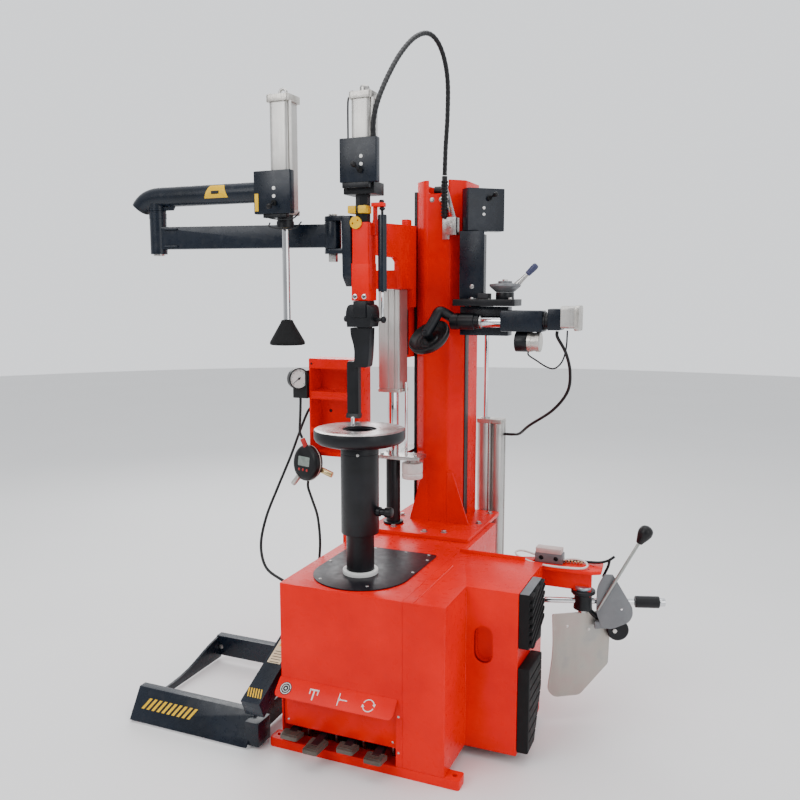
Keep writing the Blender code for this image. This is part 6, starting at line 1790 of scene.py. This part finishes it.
def add_valve_block():
    """The grey air valve on the red plate, its two ports, copper fittings and bent black handle."""
    lower = prism(rounded(rectangle(0.499, 0.388, 0.598, 0.428), 0.004), 0.036, level(0.5602), SOFT_EDGE)
    ports = [turned([(0.0085, -0.01), (0.0085, 0.01)], (x, 0.388, 0.578), (0, 1, 0), SMALL)
             for x in (0.522, 0.574)]
    piece("valve_lower_block", cut(lower, *ports), "sector", "breaker_arm")
    upper = prism(rounded(rectangle(0.502, 0.386, 0.594, 0.426), 0.004), 0.018, level(0.5962), SOFT_EDGE)
    piece("valve_top_block", upper, "rosy", "breaker_arm")
    plugs = [turned([(0.0078, 0), (0.0078, 0.004), (0.0058, 0.005), (0.004, 0.0055)],
                    (x, 0.3975, 0.578), FORWARD, SMALL) for x in (0.522, 0.574)]
    piece("valve_plugs", gather(plugs), "plastic", "breaker_arm")
    fittings = [rod((x, 0.418, 0.56), (x, 0.418, 0.572 - 0.0015 * (index % 2)), 0.0042, TINY, HAIR_EDGE)
                for index, x in enumerate((0.604, 0.615, 0.626, 0.637, 0.648, 0.659))]
    piece("valve_fittings", gather(fittings), "brass", "breaker_arm")
    bar = [(0.597, 0.424, 0.566), (0.64, 0.432, 0.567), (0.69, 0.438, 0.567), (0.722, 0.44, 0.57),
           (0.748, 0.441, 0.58), (0.768, 0.441, 0.596)]
    hook = [(0.752, 0.441, 0.584), (0.748, 0.44, 0.56), (0.738, 0.439, 0.535), (0.732, 0.438, 0.52)]
    handle = [tube(smooth_route(route, 0.004), 0.0048, TINY) for route in (bar, hook)]
    piece("valve_handle", gather(handle), "burnished", "breaker_arm")


def add_cable_loop():
    route = [(0.598, 0.406, 0.574), (0.635, 0.406, 0.582), (0.67, 0.398, 0.581), (0.686, 0.38, 0.572),
             (0.67, 0.362, 0.566), (0.615, 0.353, 0.5645), (0.55, 0.352, 0.5645), (0.49, 0.357, 0.57),
             (0.442, 0.372, 0.581), (0.43, 0.393, 0.587), (0.45, 0.412, 0.588), (0.4985, 0.409, 0.58)]
    path = smooth_route(route, 0.004)
    made = piece("valve_cable_loop", tube(path, 0.0036, 14), "cable", "breaker_arm")


def add_breaker_rod():
    middle = SHOVEL_AXIS + UP * ROD_HEIGHT
    shaft = rod(middle - ROD_DIRECTION * 0.134, middle + ROD_DIRECTION * 0.2, 0.0105, MEDIUM)
    tip = rod(middle + ROD_DIRECTION * 0.25, middle + ROD_DIRECTION * 0.281, 0.0145, MEDIUM, EDGE)
    piece("breaker_rod_bar", gather([shaft, tip]), "chrome", "breaker_rod", "breaker_rod")
    grip = turned([(0.012, 0.0), (0.019, 0.001), (0.0205, 0.003), (0.0205, 0.081), (0.019, 0.083),
                   (0.011, 0.084)], middle + ROD_DIRECTION * 0.178, ROD_DIRECTION, ROUND)
    piece("breaker_rod_grip", grip, "plastic", "breaker_rod")


def add_breaker_blade():
    """The zinc shovel plate: straight edges, bevelled corners and two small rivets."""
    outline = rounded([(-0.112, 0.398), (0.072, 0.4), (0.102, 0.374), (0.098, 0.205), (-0.005, 0.094),
                       (-0.1, 0.092), (-0.124, 0.12), (-0.106, 0.262)],
                      [0.006, 0.006, 0.008, 0.008, 0.012, 0.022, 0.022, 0.06], 10)
    blade = prism(outline, 0.006, upright(SHOVEL_AXIS, BLADE_DIRECTION), 0.0018)
    normal = BLADE_DIRECTION.cross(UP)
    piece("breaker_blade_plate", blade, "zinc", "breaker_shovel", "breaker_blade")
    pin = turned([(0.016, 0.399), (0.016, 0.4117), (0.01, 0.412), (0.01, 0.426)], SHOVEL_AXIS, sides=ROUND)
    piece("breaker_blade_pin", pin, "steel", "breaker_shovel")
    rims = []
    for along, z in ((-0.058, 0.352), (0.022, 0.336)):
        spot = SHOVEL_AXIS + BLADE_DIRECTION * along + UP * z + normal * 0.006
        rims.append(turned([(0.0, -0.001), (0.0052, 0.0), (0.005, 0.0012), (0.003, 0.0022), (0.0, 0.0026)],
                           spot, normal, SMALL))
    piece("breaker_blade_rivets", gather(rims), "cable", "breaker_shovel")


def add_breaker_lever():
    outline = rounded([(0.042, 0.405), (0.042, 0.5), (0.066, 0.545), (0.095, 0.545), (0.11, 0.521),
                       (0.146, 0.461), (0.166, 0.428), (0.168, 0.398), (0.155, 0.374), (0.097, 0.348),
                       (0.064, 0.352)],
                      [0.02, 0.03, 0.004, 0.004, 0.02, 0.03, 0.02, 0.02, 0.02, 0.02, 0.01], 8)
    sector = prism(outline, 0.006, upright(SHOVEL_AXIS + ROD_SIDE * 0.022, ROD_DIRECTION), 0.0018)
    spot = SHOVEL_AXIS + ROD_DIRECTION * 0.129 + UP * 0.42
    hole = rod(spot - ROD_SIDE * 0.01, spot + ROD_SIDE * 0.06, 0.0042, SMALL)
    bridge = prism([(0.04, 0.346), (0.1, 0.352), (0.1, 0.372), (0.04, 0.372)], 0.014,
                   upright(SHOVEL_AXIS + ROD_SIDE * 0.0085, ROD_DIRECTION), THIN_EDGE)
    piece("lever_sector_plate", join(cut(sector, hole), bridge), "sector", "breaker_handle",
          "breaker_lever")
    foot = SHOVEL_AXIS + ROD_DIRECTION * 0.046 + ROD_SIDE * 0.029 + UP * 0.418
    top = SHOVEL_AXIS + ROD_DIRECTION * 0.178 + ROD_SIDE * 0.052 + UP * 0.676
    piece("lever_stalk", rod(foot, top, 0.0055, MEDIUM, THIN_EDGE), "stalk", "breaker_handle")
    axis = (top - foot).normalized()
    base = top - (top - foot) * 0.04
    knob = turned([(0.0085, 0.0), (0.011, 0.001), (0.015, 0.012), (0.0215, 0.028), (0.0242, 0.038),
                   (0.0245, 0.043)], base, axis)
    knob_top = turned([(0.0243, 0.0426), (0.0238, 0.05), (0.0215, 0.057), (0.016, 0.063), (0.0085, 0.0665),
                       (0.0, 0.0675)], base, axis)
    piece("lever_knob", knob, "plastic", "breaker_handle")
    piece("lever_knob_top", knob_top, "plastic", "breaker_handle")


for add in (
    add_camera, add_studio, add_floor, add_hoses, add_cabinet, add_cabinet_details, add_base,
    add_top_cover, add_pedal_panel, add_pads, add_pedals, add_turntable, add_spindle, add_column,
    add_lift_post, add_rear_cylinder, add_hose_guide, add_tray, add_gauge, add_inflator,
    add_tool_carriage, add_lift_cylinder, add_tool_arm, add_head_cylinder, add_head_control_box,
    add_tool_shaft, add_helper_bracket, add_tool_head, add_tool_finger, add_gas_spring,
    add_helper_beam, add_press_tube, add_press_cylinder, add_press_control_box, add_press_rod,
    add_levers, add_disc_carriage, add_disc_housing, add_disc_shaft, add_bead_disc,
    add_disc_control_box, add_clamp_lever, add_lift_arm, add_lift_platform, add_breaker_arm,
    add_valve_block, add_cable_loop, add_breaker_rod, add_breaker_blade, add_breaker_lever,
):
    add()

keep_node("spindle_housing", "iron")
keep_node("drive_motor", "iron")
keep_node("motor_shaft", "steel")
